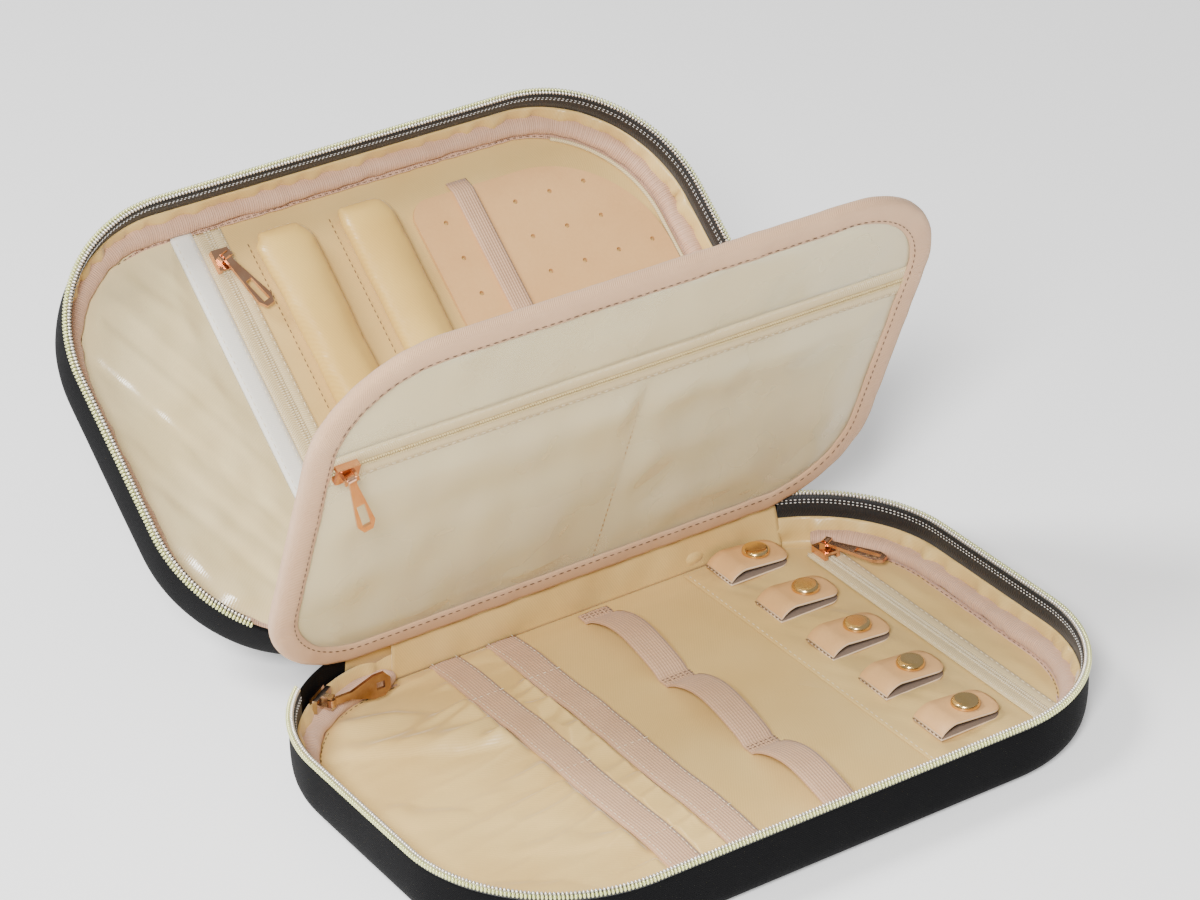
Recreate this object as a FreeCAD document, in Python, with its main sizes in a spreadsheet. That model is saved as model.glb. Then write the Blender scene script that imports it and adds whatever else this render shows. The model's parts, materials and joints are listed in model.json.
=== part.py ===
"""Soft zip-round travel jewellery case: a tray, a lid on a fabric spine, and a padded divider page.

Millimetres. X runs along the spine, +Y points at the spine, +Z up. The origin is the centre of the
tray's base. The tray is drawn where it stands. The lid is drawn as a second tray, rim up, and the page
as if it lay closed, and each is then turned about its hinge to the angle at which the case stands open.
"""
import FreeCAD, Part
import math
import os

import Sketcher

Vector = FreeCAD.Vector
Rotation = FreeCAD.Rotation
Placement = FreeCAD.Placement

DIMENSIONS = {
    # the case
    "case_length": (250, "outside length along the spine"),
    "case_depth": (168, "outside depth from spine to front"),
    "corner_radius": (55, "radius of the four corners"),
    "shell_height": (24, "height of one half, base to rim"),
    "shell_wall": (1.8, "padded outer fabric, wall and floor"),
    "base_edge_radius": (7, "rounding between wall and base"),
    "rim_gap": (0.6, "gap between the two rims when shut"),
    "spine_gap": (0.4, "hinge line behind the back wall"),
    "lid_angle": (140.6, "how far the lid stands open"),
    # layers of each half
    "board_thickness": (1.2, "stiffener in the base"),
    "pad_thickness": (1.3, "foam on the stiffener"),
    "lining_thickness": (0.6, "satin lining"),
    "lining_edge_radius": (3, "rounding where the lining turns up"),
    "tape_thickness": (0.8, "woven zipper tape"),
    "tape_height": (9, "zipper tape that shows inside the rim"),
    "tape_drop": (1.2, "zipper tape's edge below the rim"),
    "tooth_height": (2.6, "zipper chain"),
    "zipper_left_end": (18, "zipper's end inside the left side"),
    "zipper_right_end": (35.4, "zipper's end inside the right side"),
    "zipper_end_depth": (24, "how deep the spine's open stretch is cut"),
    "roll_diameter": (5.8, "bound roll along the foot of the wall"),
    "roll_gap": (0.1, "roll to lining"),
    "roll_right_end": (27, "roll's end inside the right side, past the first strap"),
    "spine_fold_radius": (2.2, "rolled spine fabric on the hinge line"),
    # the flap between the page and the tray floor
    "left_ends": (4, "flap and roll end this far before the back left corner"),
    "flap_past_corner": (7, "flap's right end past the start of the back right corner"),
    "flap_thickness": (0.8, "flap fabric"),
    "flap_foot": (5.6, "flap's foot in front of the back wall"),
    "flap_bead_radius": (1.4, "rolled top of the flap, on the page's hinge line"),
    # fittings of the tray
    "fitting_gap": (0.5, "fittings to the bound roll or the flap"),
    "gather_thickness": (2.4, "gathered pocket fabric"),
    "pocket_band_width": (12.5, "elastic on the pocket mouths"),
    "pocket_band_height": (3, "elastic on the pocket mouths"),
    "left_band_x": (72.5, "left band's left edge from the left side"),
    "right_band_x": (94.5, "right band's left edge from the left side"),
    "loop_x": (11.5, "middle of the loop strip"),
    "loop_width": (12, "elastic loop strip"),
    "loop_thickness": (1, "elastic loop strip"),
    "loop_rise": (6.4, "height of a loop's crown above its foot"),
    "loop_foot": (5, "stitched foot between two loops"),
    "loop_end": (2, "strip's ends inside the other fittings'"),
    "panel_left_x": (75, "left edge of the tray's pocket panel, from the right side"),
    "panel_thickness": (1, "pocket panels"),
    "tray_track_x": (28, "tray pocket's zipper from the right side"),
    "track_gap": (0.036, "tray pocket's tape, at its outer edge, to the bound roll"),
    "coil_width": (3, "pocket zipper coil"),
    "coil_height": (1.6, "pocket zipper coil"),
    "pocket_tape_width": (11, "pocket zipper tape"),
    "pocket_tape_thickness": (0.5, "pocket zipper tape"),
    # snap straps
    "strap_x": (66.5, "fold of the straps from the right side"),
    "strap_length": (26, "fold to free end"),
    "strap_width": (15, "strap"),
    "strap_thickness": (1.2, "strap leather"),
    "strap_first_back": (15.5, "middle of the first strap from the back wall"),
    "strap_last_front": (36, "middle of the last strap from the front"),
    "strap_fold_gap": (0.4, "flap to base at the fold"),
    "strap_belly": (2.6, "how far the folded flap stands up"),
    "snap_x": (15.5, "snap from the fold"),
    "snap_radius": (4.85, "domed cap"),
    "snap_dome": (1.9, "domed cap's height"),
    "socket_radius": (3.4, "socket and stud flange"),
    "stud_flange": (0.7, "stud flange's thickness"),
    "stud_radius": (1.5, "stud"),
    "stud_height": (1.4, "stud above its flange"),
    "snap_gap": (0.3, "stud to socket"),
    "socket_wall": (0.3, "socket above the stud"),
    # sliders and pulls
    "slider_length": (8, "pocket slider"),
    "slider_width": (6.4, "pocket slider"),
    "slider_height": (2.7, "pocket slider"),
    "slider_gap": (0.3, "slider to tape and coil"),
    "pin_radius": (0.7, "pin of a pull"),
    "pin_gap": (0.1, "pull's eye to its pin"),
    "eye_radius": (1.5, "pull's eye, outside"),
    "eye_width": (2.6, "pull's eye along the pin"),
    "cheek_thickness": (0.9, "cheeks that hold the pin"),
    "cheek_margin": (0.4, "cheek before and behind its pin"),
    "cheek_top": (0.2, "cheek above its pin"),
    "pull_length": (23, "pin to tip"),
    "pull_thickness": (1.2, "pull"),
    "pull_tip_width": (6.2, "pull at its tip"),
    "pull_window_width": (2.8, "window in the pull"),
    "main_slider_length": (10, "slider of the main zipper"),
    "main_slider_depth": (4.6, "slider of the main zipper, tape to bail"),
    "main_slider_height": (5, "slider of the main zipper"),
    "main_slider_angle": (32.7, "where it sits round the back left corner"),
    "main_slot_width": (0.9, "slot for the zipper tape"),
    "main_slot_depth": (1.4, "slot's far face from the tape's side"),
    "main_ear_margin": (0.5, "ear before and behind its pin"),
    "main_pull_length": (22, "pin to tip"),
    "main_pull_radius": (4.4, "round end of the teardrop pull"),
    # fittings of the lid
    "lid_pocket_x": (60, "pocket's edge from the left side"),
    "lid_strip_width": (8.5, "plain strip beside the pocket zipper"),
    "lid_track_x": (14, "lid pocket's zipper from the pocket's edge"),
    "lid_slider_far": (23, "lid pocket's slider from the far side"),
    "ring_roll_width": (25, "padded ring roll"),
    "ring_roll_height": (10, "padded ring roll"),
    "ring_roll_far": (17, "roll's far end from the far side"),
    "ring_roll_x": (85, "first roll's left edge from the left side"),
    "ring_roll_pitch": (32.5, "roll to roll"),
    "board_right": (12, "earring board's right edge from the right side"),
    "board_width": (90, "earring board"),
    "board_far": (23, "earring board's far edge from the far side"),
    "board_near": (25, "earring board's near edge from the hinge line"),
    "board_leather": (1.4, "earring board"),
    "board_gap": (0.3, "earring board to lining and band"),
    "board_corner": (8, "two left corners"),
    "board_far_corner": (43, "far right corner"),
    "board_near_corner": (36, "near right corner"),
    "board_hole": (0.9, "radius of the earring holes"),
    "board_pitch": (14.5, "earring holes"),
    "board_travel": (8, "board's slide under its band"),
    "board_band_x": (22.5, "middle of the band from the board's left edge"),
    "board_band_width": (9, "band over the board"),
    "board_band_thickness": (0.8, "band over the board"),
    "board_band_foot": (4, "stitched end of the band"),
    # the page
    "page_hinge_back": (6, "page hinge line from the back wall"),
    "page_hinge_drop": (4, "page hinge line below the rim"),
    "page_angle": (67, "how far the page stands open"),
    "page_side": (7.5, "page's sides inside the case's outline"),
    "page_front": (6, "page's far edge inside the case's outline"),
    "page_start": (2, "page's near edge from its hinge line"),
    "page_corner_step": (13, "page corners tighter than the case's"),
    "page_board_thickness": (1.6, "padded board"),
    "page_cover": (0.6, "cover on the lid's side"),
    "page_film": (0.6, "clear pocket film on the tray's side"),
    "page_binding_width": (9, "bound edge"),
    "page_binding_wall": (0.7, "bound edge, each side of the page"),
    "page_binding_lip": (0.8, "bound edge outside the page"),
    "page_track": (47, "page zipper from the page's far edge"),
    "page_tape_width": (13, "page zipper tape"),
    "page_pull_lean": (13, "page pull hangs off the page by this angle"),
}
STRAPS = 5
LOOPS = 3
BOARD_COLUMNS = 6
BOARD_ROWS = 8
ARCH_STEPS = 12
PAST = 1
LOOP_FULLNESS = 0.8
BELLY_FORWARD = 0.8
FOLD_TIGHTNESS = 1.6
DOME_ROUNDING = 0.8
RING_ROLL_ROUNDING = 0.9
BOARD_MARGIN = 0.75
HOLE_CLEAR = 3
TEAR_SHOULDER = 1.4
TEAR_WINDOW = 1.2
TEAR_END = 0.5
TEAR_BLUNT = 0.45
TRAY_PULL_YAW = 25
LID_PULL_YAW = 19
PAGE_PULL_YAW = -72
TRAY = 1
LID = -1

doc = FreeCAD.newDocument("JewelryCase")
sheet = doc.addObject("Spreadsheet::Sheet", "sizes")
parts = {}


class Size:
    """A size from the sheet, or sums on sizes, kept as a number and as an expression's text."""

    def __init__(self, value, text):
        self.value = float(value)
        self.text = text

    def __float__(self):
        return self.value

    def __neg__(self):
        return Size(-self.value, f"(-{self.text})")

    def __add__(self, other):
        other = as_size(other)
        return Size(self.value + other.value, f"({self.text} + {other.text})")

    def __sub__(self, other):
        other = as_size(other)
        return Size(self.value - other.value, f"({self.text} - {other.text})")

    def __mul__(self, other):
        other = as_size(other)
        return Size(self.value * other.value, f"({self.text} * {other.text})")

    def __truediv__(self, other):
        other = as_size(other)
        return Size(self.value / other.value, f"({self.text} / {other.text})")

    def __radd__(self, other):
        return as_size(other) + self

    def __rsub__(self, other):
        return as_size(other) - self

    def __rmul__(self, other):
        return as_size(other) * self


def as_size(value):
    """A plain number becomes a Size that isn't in the sheet."""
    return value if isinstance(value, Size) else Size(value, repr(float(value)))


def root(size):
    """A square root that the sheet can follow."""
    return Size(math.sqrt(float(size)), f"sqrt({size.text})")


def not_below_zero(size):
    """The size, or nothing where it would be negative."""
    return Size(max(float(size), 0.0), f"max({size.text}; 0)")


def corner_cut(radius, depth):
    """How far a round corner takes a straight side in, at a depth from the corner's other side."""
    left = not_below_zero(radius - depth)
    return radius - root(radius * radius - left * left)


def fill_sheet():
    """Writes each driving dimension to the sheet and gives the sizes by name."""
    sizes = {}
    for row, (name, (value, meaning)) in enumerate(DIMENSIONS.items(), start=1):
        sheet.set(f"A{row}", name)
        sheet.set(f"B{row}", str(value))
        sheet.set(f"C{row}", meaning)
        sheet.setAlias(f"B{row}", name)
        sizes[name] = Size(value, f"sizes.{name}")
    doc.recompute()
    return sizes


D = fill_sheet()


# ---- helpers: sketches and features ---------------------------------------------------------------

def bind(thing, prop, size):
    """Ties a property to the sheet."""
    thing.setExpression(prop, as_size(size).text)


def keep(thing, label, placement=None):
    """Names a finished sub-part, places it, and puts it on the list to be written."""
    doc.recompute()
    thing.Label = label
    if placement is not None:
        thing.Placement = placement
    parts[label] = thing
    return thing


def new_body(label):
    """An empty body for one sub-part."""
    return doc.addObject("PartDesign::Body", label)


def new_sketch(body, role="XY_Plane", height=0):
    """A sketch on one of the body's own planes, moved along the plane's normal by height."""
    sketch = body.newObject("Sketcher::SketchObject", body.Name + "_sketch")
    plane = next(f for f in body.Origin.OriginFeatures if f.Role == role)
    sketch.AttachmentSupport = [(plane, "")]
    sketch.MapMode = "FlatFace"
    bind(sketch, "AttachmentOffset.Base.z", height)
    return sketch


def lock(sketch, item, point, x, y):
    """Fixes one point of a sketch item at (x, y)."""
    for kind, axis, size in (("DistanceX", -2, as_size(x)), ("DistanceY", -1, as_size(y))):
        if abs(float(size)) < 1e-9:
            sketch.addConstraint(Sketcher.Constraint("PointOnObject", item, point, axis))
            continue
        index = sketch.addConstraint(Sketcher.Constraint(kind, -1, 1, item, point, float(size)))
        sketch.setExpression(f"Constraints[{index}]", size.text)


def polygon(sketch, points):
    """A closed outline of straight lines through points."""
    corners = [Vector(float(x), float(y), 0) for x, y in points]
    first = sketch.GeometryCount
    count = len(points)
    for n in range(count):
        sketch.addGeometry(Part.LineSegment(corners[n], corners[(n + 1) % count]))
    for n in range(count):
        sketch.addConstraint(
            Sketcher.Constraint("Coincident", first + n, 2, first + (n + 1) % count, 1))
    for n, (x, y) in enumerate(points):
        lock(sketch, first + n, 1, x, y)


def rectangle(sketch, left, right, low, high):
    """A rectangle by its four sides."""
    polygon(sketch, [(left, low), (right, low), (right, high), (left, high)])


def rounded(sketch, left, right, low, high, radius):
    """A rectangle with four round corners: tangent lines and arcs, tied to its sides and radius."""
    x0, x1, y0, y1, r = (float(v) for v in (left, right, low, high, radius))
    first = sketch.GeometryCount
    sides = [((x0 + r, y0), (x1 - r, y0)), ((x1, y0 + r), (x1, y1 - r)),
             ((x1 - r, y1), (x0 + r, y1)), ((x0, y1 - r), (x0, y0 + r))]
    centres = [(x1 - r, y0 + r), (x1 - r, y1 - r), (x0 + r, y1 - r), (x0 + r, y0 + r)]
    for n in range(4):
        start, end = sides[n]
        sketch.addGeometry(Part.LineSegment(Vector(*start, 0), Vector(*end, 0)))
        circle = Part.Circle(Vector(*centres[n], 0), Vector(0, 0, 1), r)
        turn = math.radians(90 * n)
        sketch.addGeometry(Part.ArcOfCircle(circle, turn - math.pi / 2, turn))
    for n in range(4):
        line, arc, after = first + 2 * n, first + 2 * n + 1, first + (2 * n + 2) % 8
        sketch.addConstraint(Sketcher.Constraint("Tangent", line, 2, arc, 1))
        sketch.addConstraint(Sketcher.Constraint("Tangent", arc, 2, after, 1))
        direction = "Horizontal" if n % 2 == 0 else "Vertical"
        sketch.addConstraint(Sketcher.Constraint(direction, line))
        if n:
            sketch.addConstraint(Sketcher.Constraint("Equal", first + 1, arc))
    index = sketch.addConstraint(Sketcher.Constraint("Radius", first + 1, r))
    sketch.setExpression(f"Constraints[{index}]", as_size(radius).text)
    for item, kind, size in ((0, "DistanceY", low), (2, "DistanceX", right),
                             (4, "DistanceY", high), (6, "DistanceX", left)):
        index = sketch.addConstraint(
            Sketcher.Constraint(kind, -1, 1, first + item, 1, float(size)))
        sketch.setExpression(f"Constraints[{index}]", as_size(size).text)


def circle(sketch, x, y, radius):
    """A full circle."""
    item = sketch.addGeometry(
        Part.Circle(Vector(float(x), float(y), 0), Vector(0, 0, 1), float(radius)))
    index = sketch.addConstraint(Sketcher.Constraint("Radius", item, float(radius)))
    sketch.setExpression(f"Constraints[{index}]", as_size(radius).text)
    lock(sketch, item, 3, x, y)


def case_outline(sketch, inset):
    """The case's outline, inset from its outside."""
    half_length = SIDE - inset
    half_depth = BACK - inset
    rounded(sketch, -half_length, half_length, -half_depth, half_depth,
            D["corner_radius"] - inset)


def pad(body, sketch, length):
    """Material from the sketch along its plane's normal."""
    feature = body.newObject("PartDesign::Pad", body.Name + "_pad")
    feature.Profile = sketch
    bind(feature, "Length", length)
    sketch.Visibility = False
    doc.recompute()
    return feature


def pocket(body, sketch, length):
    """Material taken away from the sketch against its plane's normal; it has to cut something."""
    before = body.Shape.Volume
    feature = body.newObject("PartDesign::Pocket", body.Name + "_pocket")
    feature.Profile = sketch
    bind(feature, "Length", length)
    doc.recompute()
    if not body.Shape.Volume < before - 1e-6:
        raise RuntimeError(f"{body.Name}: the pocket cuts nothing")
    return feature


def fillet(body, feature, test, radius):
    """Rounds the edges of a feature that pass a test."""
    edges = [f"Edge{n}" for n, edge in enumerate(feature.Shape.Edges, start=1) if test(edge)]
    rounding = body.newObject("PartDesign::Fillet", body.Name + "_fillet")
    rounding.Base = (feature, edges)
    bind(rounding, "Radius", radius)
    doc.recompute()
    return rounding


def at_height(z):
    """A test for edges that lie flat at one height."""
    def test(edge):
        box = edge.BoundBox
        return abs(box.ZMin - float(z)) < 1e-4 and abs(box.ZMax - float(z)) < 1e-4
    return test


def upright_near(x, y):
    """A test for the upright edge at one corner of a plate."""
    def test(edge):
        box = edge.BoundBox
        return (box.ZLength > 1e-3 and abs(box.XMin - float(x)) < 1e-3
                and abs(box.YMin - float(y)) < 1e-3 and box.XLength < 1e-3)
    return test


def box(name, size, at):
    """A Part box whose three sides and corner are tied to the sheet."""
    solid = doc.addObject("Part::Box", name)
    for prop, value in zip(("Length", "Width", "Height"), size):
        bind(solid, prop, value)
    for axis, value in zip("xyz", at):
        bind(solid, f"Placement.Base.{axis}", value)
    return solid


def cylinder(name, radius, height, at, direction=Vector(0, 0, 1)):
    """A Part cylinder tied to the sheet, standing at a point along a direction."""
    solid = doc.addObject("Part::Cylinder", name)
    bind(solid, "Radius", radius)
    bind(solid, "Height", height)
    solid.Placement = Placement(Vector(0, 0, 0), Rotation(Vector(0, 0, 1), direction))
    for axis, value in zip("xyz", at):
        bind(solid, f"Placement.Base.{axis}", value)
    return solid


def fuse(name, solids):
    """One solid from several."""
    result = doc.addObject("Part::MultiFuse", name)
    result.Shapes = solids
    return result


def cut(name, base, tool):
    """One solid less another."""
    result = doc.addObject("Part::Cut", name)
    result.Base = base
    result.Tool = tool
    return result


def ribbon(label, path, thickness, width, plane_x, turn):
    """A band of even thickness along a path of (run, height) points, as wide as width.

    The path lies in the plane through plane_x; turn sends its run to -Y ("y") or to +X ("x").
    """
    half = float(thickness) / 2
    upper, lower = [], []
    for n, (run, height) in enumerate(path):
        before = path[max(n - 1, 0)]
        after = path[min(n + 1, len(path) - 1)]
        ways = []
        for start, end in ((before, (run, height)), ((run, height), after)):
            if start != end:
                span = math.hypot(end[0] - start[0], end[1] - start[1])
                ways.append(((end[0] - start[0]) / span, (end[1] - start[1]) / span))
        across = (-sum(w[1] for w in ways), sum(w[0] for w in ways))
        span = math.hypot(*across)
        across = (across[0] / span, across[1] / span)
        reach = half / (across[0] * -ways[0][1] + across[1] * ways[0][0])
        upper.append((run + across[0] * reach, height + across[1] * reach))
        lower.append((run - across[0] * reach, height - across[1] * reach))
    outline = upper + lower[::-1] + upper[:1]
    if turn == "y":
        corner = [Vector(float(plane_x) - float(width) / 2, -run, z) for run, z in outline]
        sweep = Vector(float(width), 0, 0)
    else:
        corner = [Vector(run, float(plane_x) - float(width) / 2, z) for run, z in outline]
        sweep = Vector(0, float(width), 0)
    feature = doc.addObject("Part::Feature", label)
    feature.Shape = Part.Face(Part.makePolygon(corner)).extrude(sweep)
    return feature


# ---- levels and places ------------------------------------------------------------------------------

AXIS_Y = D["case_depth"] / 2 + D["spine_gap"]
AXIS_Z = D["shell_height"] + D["rim_gap"] / 2
PAD_Z = D["shell_wall"] + D["board_thickness"]
LINING_Z = PAD_Z + D["pad_thickness"]
FLOOR = LINING_Z + D["lining_thickness"]
TAPE_TOP = D["shell_height"] - D["tape_drop"]
TAPE_LOW = TAPE_TOP - D["tape_height"]
WALL_TOP = D["shell_height"] - D["tooth_height"]
ROLL_INSET = D["shell_wall"] + D["lining_thickness"] + D["roll_gap"] + D["roll_diameter"] / 2
ROLL_Z = FLOOR + D["roll_gap"] + D["roll_diameter"] / 2
ROLL_INNER = ROLL_INSET + D["roll_diameter"] / 2
FITTING_INSET = ROLL_INNER + D["fitting_gap"]
BACK = D["case_depth"] / 2
SIDE = D["case_length"] / 2
PAGE_Y = BACK - D["page_hinge_back"]
PAGE_Z = D["shell_height"] - D["page_hinge_drop"]
FLAP_Y = BACK - D["flap_foot"]
FITTING_BACK = FLAP_Y - D["fitting_gap"]
FITTING_FRONT = -(BACK - FITTING_INSET)
PANEL_TOP = FLOOR + D["panel_thickness"]
TRAY_TRACK = SIDE - D["tray_track_x"]
TRAY_TRACK_END = BACK - ROLL_INNER - D["track_gap"] - corner_cut(
    D["corner_radius"] - ROLL_INNER,
    D["tray_track_x"] - D["pocket_tape_width"] / 2 - ROLL_INNER)
TRAY_SLIDER_Y = TRAY_TRACK_END - D["slider_length"] / 2 + D["fitting_gap"]


def turned(angle, y, z):
    """A turn by angle about the line along X through (y, z)."""
    return Placement(Vector(0, 0, 0), Rotation(Vector(1, 0, 0), angle), Vector(0, float(y), float(z)))


def lid_place():
    """Carries a tray drawn at the origin to the open lid: laid flat behind the spine, then raised."""
    flat = Placement(Vector(0, 2 * float(AXIS_Y), 0), Rotation())
    return turned(180 - float(D["lid_angle"]), AXIS_Y, AXIS_Z) * flat


def page_place():
    """Carries the page drawn about its hinge line to its open angle."""
    raised = Placement(Vector(0, 0, 0), Rotation(Vector(1, 0, 0), -float(D["page_angle"])))
    return Placement(Vector(0, float(PAGE_Y), float(PAGE_Z)), Rotation()) * raised


def at(x, y, z, turns=()):
    """A place, with turns as (axis, angle) pairs applied about it one after another."""
    place = Placement(Vector(float(x), float(y), float(z)), Rotation())
    for axis, angle in turns:
        place = place * Placement(Vector(0, 0, 0), Rotation(Vector(*axis), float(angle)))
    return place


# ---- one half of the case: shell, stiffener, foam, lining, zipper, bound roll ------------------------

def ring(label, inset, width, low, height):
    """A flat-sided ring that follows the case's outline."""
    body = new_body(label)
    sketch = new_sketch(body, height=low)
    case_outline(sketch, inset)
    case_outline(sketch, inset + width)
    pad(body, sketch, height)
    return body


def open_at_spine(body, side, left, right, top):
    """Cuts a ring open along the spine between two ends."""
    edge = side * (BACK + 1)
    inner = side * (BACK - D["zipper_end_depth"])
    sketch = new_sketch(body, height=top)
    low, high = (inner, edge) if side == TRAY else (edge, inner)
    rectangle(sketch, -left, right, low, high)
    pocket(body, sketch, top)


def plate(label, inset, low, thickness):
    """A flat plate that follows the case's outline."""
    body = new_body(label)
    sketch = new_sketch(body, height=low)
    case_outline(sketch, inset)
    pad(body, sketch, thickness)
    return body


def block(label, inset, low, height, edge_radius):
    """A solid block that follows the case's outline, rounded round its base."""
    body = new_body(label)
    sketch = new_sketch(body, height=low)
    case_outline(sketch, inset)
    feature = pad(body, sketch, height)
    fillet(body, feature, at_height(low), edge_radius)
    return body


def tub(label, inset, low, height, wall, edge_radius):
    """An open tub of even wall: one rounded block less a smaller one."""
    outside = block(label + "_outside", inset, low, height, edge_radius)
    inside = block(label + "_inside", inset + wall, low + wall, height, edge_radius - wall)
    return cut(label + "_tub", outside, inside)


def bound_roll(label, side):
    """The grosgrain-bound roll round the foot of the wall, open along the spine."""
    body = new_body(label)
    path = new_sketch(body, height=ROLL_Z)
    case_outline(path, ROLL_INSET)
    section = new_sketch(body, role="XZ_Plane")
    circle(section, SIDE - ROLL_INSET, ROLL_Z, D["roll_diameter"] / 2)
    doc.recompute()
    pipe = body.newObject("PartDesign::AdditivePipe", label + "_pipe")
    pipe.Profile = section
    pipe.Spine = (path, [f"Edge{n}" for n in range(1, 9)])
    doc.recompute()
    open_at_spine(body, side, SIDE - D["corner_radius"] - D["left_ends"],
                  SIDE - D["roll_right_end"], D["shell_height"])
    return body


def half_case(name, side, place=None):
    """Everything that the tray and the lid have in common."""
    left, right = SIDE - D["zipper_left_end"], SIDE - D["zipper_right_end"]
    shell = tub(name + "_outer_shell", as_size(0), as_size(0), WALL_TOP, D["shell_wall"],
                D["base_edge_radius"])
    keep(shell, name + "_outer_shell", place)
    board = plate(name + "_base_board", D["base_edge_radius"], D["shell_wall"], D["board_thickness"])
    keep(board, name + "_base_board", place)
    foam = plate(name + "_floor_pad", D["base_edge_radius"], PAD_Z, D["pad_thickness"])
    keep(foam, name + "_floor_pad", place)
    lining = tub(name + "_lining", D["shell_wall"], LINING_Z, TAPE_LOW - LINING_Z,
                 D["lining_thickness"], D["lining_edge_radius"])
    keep(lining, name + "_lining", place)
    tape = ring(name + "_zipper_tape", D["shell_wall"], D["tape_thickness"], TAPE_LOW,
                D["tape_height"])
    open_at_spine(tape, side, left, right, D["shell_height"])
    keep(tape, name + "_zipper_tape", place)
    teeth = ring(name + "_zipper_teeth", as_size(0), D["shell_wall"], WALL_TOP, D["tooth_height"])
    open_at_spine(teeth, side, left, right, D["shell_height"])
    keep(teeth, name + "_zipper_teeth", place)
    keep(bound_roll(name + "_bound_roll", side), name + "_bound_roll", place)


# ---- sliders and pulls ------------------------------------------------------------------------------

PIN_Z = D["slider_gap"] + D["slider_height"] + D["eye_radius"] + D["slider_gap"]


def slider(label, yaw, place):
    """A pocket slider: X along the zipper, Z=0 on the tape. Its pin is square to the pull at yaw."""
    length, width, height = D["slider_length"], D["slider_width"], D["slider_height"]
    base = box(label + "_base", (length, width, height), (-length / 2, -width / 2, D["slider_gap"]))
    channel_width = D["coil_width"] + 2 * D["slider_gap"]
    channel = box(label + "_channel",
                  (length + 2 * PAST, channel_width, D["coil_height"] + D["slider_gap"]),
                  (-length / 2 - PAST, -channel_width / 2, 0))
    saddle = cut(label + "_saddle", base, channel)
    deck = D["slider_gap"] + height
    reach = D["eye_width"] / 2 + D["slider_gap"]
    cheek = (2 * (D["pin_radius"] + D["cheek_margin"]), D["cheek_thickness"],
             PIN_Z - deck + D["pin_radius"] + D["cheek_top"])
    cheeks = [box(label + "_cheek", cheek, (-cheek[0] / 2, y, deck))
              for y in (reach, -reach - D["cheek_thickness"])]
    span = 2 * (reach + D["cheek_thickness"])
    pin = cylinder(label + "_pin", D["pin_radius"], span, (0, -span / 2, PIN_Z), Vector(0, 1, 0))
    bail = fuse(label + "_bail", cheeks + [pin])
    bail.Placement = at(0, 0, 0, [((0, 0, 1), yaw)])
    keep(fuse(label + "_body", [saddle, bail]), label, place)


def eye_and_window(label, length, outline, window):
    """A flat pull with an eye for its pin: pin along Y at the origin, plate along +X."""
    thickness = D["pull_thickness"]
    body = new_body(label)
    sketch = new_sketch(body, height=-thickness / 2)
    outline(sketch, length)
    pad(body, sketch, thickness)
    eye = new_sketch(body, role="XZ_Plane", height=-D["eye_width"] / 2)
    circle(eye, 0, 0, D["eye_radius"])
    pad(body, eye, D["eye_width"])
    bore = new_sketch(body, role="XZ_Plane", height=D["eye_width"])
    circle(bore, 0, 0, D["pin_radius"] + D["pin_gap"])
    pocket(body, bore, 2 * D["eye_width"])
    opening = new_sketch(body, height=thickness)
    window(opening, length)
    pocket(body, opening, 2 * thickness)
    return body


def tapered_outline(sketch, length):
    """A plate that widens from the eye to its tip."""
    neck, tip = D["eye_width"] / 2, D["pull_tip_width"] / 2
    polygon(sketch, [(0, -neck), (D["eye_radius"] * 2, -neck), (length - tip, -tip), (length, -tip / 2),
                     (length, tip / 2), (length - tip, tip), (D["eye_radius"] * 2, neck), (0, neck)])


def tip_window(sketch, length):
    """The slot near the tip."""
    half = D["pull_window_width"] / 2
    rectangle(sketch, length / 2, length - D["pull_tip_width"] / 3, -half, half)


def pull(label, yaw, lean, place):
    """A pocket pull on its slider's pin, turned to yaw and leaning off the tape by lean."""
    body = eye_and_window(label, D["pull_length"], tapered_outline, tip_window)
    pin = at(0, 0, PIN_Z, [((0, 0, 1), yaw), ((0, 1, 0), -float(lean))])
    keep(body, label, place * pin)


def teardrop_outline(sketch, length):
    """A narrow neck that opens into a blunt round end."""
    neck, wide = D["eye_width"] / 2, D["main_pull_radius"]
    shoulder, end = length - TEAR_SHOULDER * wide, length - TEAR_END * wide
    blunt = TEAR_BLUNT * wide
    polygon(sketch, [(0, -neck), (length / 3, -neck), (shoulder, -wide), (end, -wide),
                     (length, -blunt), (length, blunt), (end, wide), (shoulder, wide),
                     (length / 3, neck), (0, neck)])


def teardrop_window(sketch, length):
    """The slot in the teardrop's round end."""
    half = D["pull_window_width"] / 2
    wide = D["main_pull_radius"]
    rectangle(sketch, length - TEAR_WINDOW * wide, length - TEAR_END * wide, -half, half)


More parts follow.
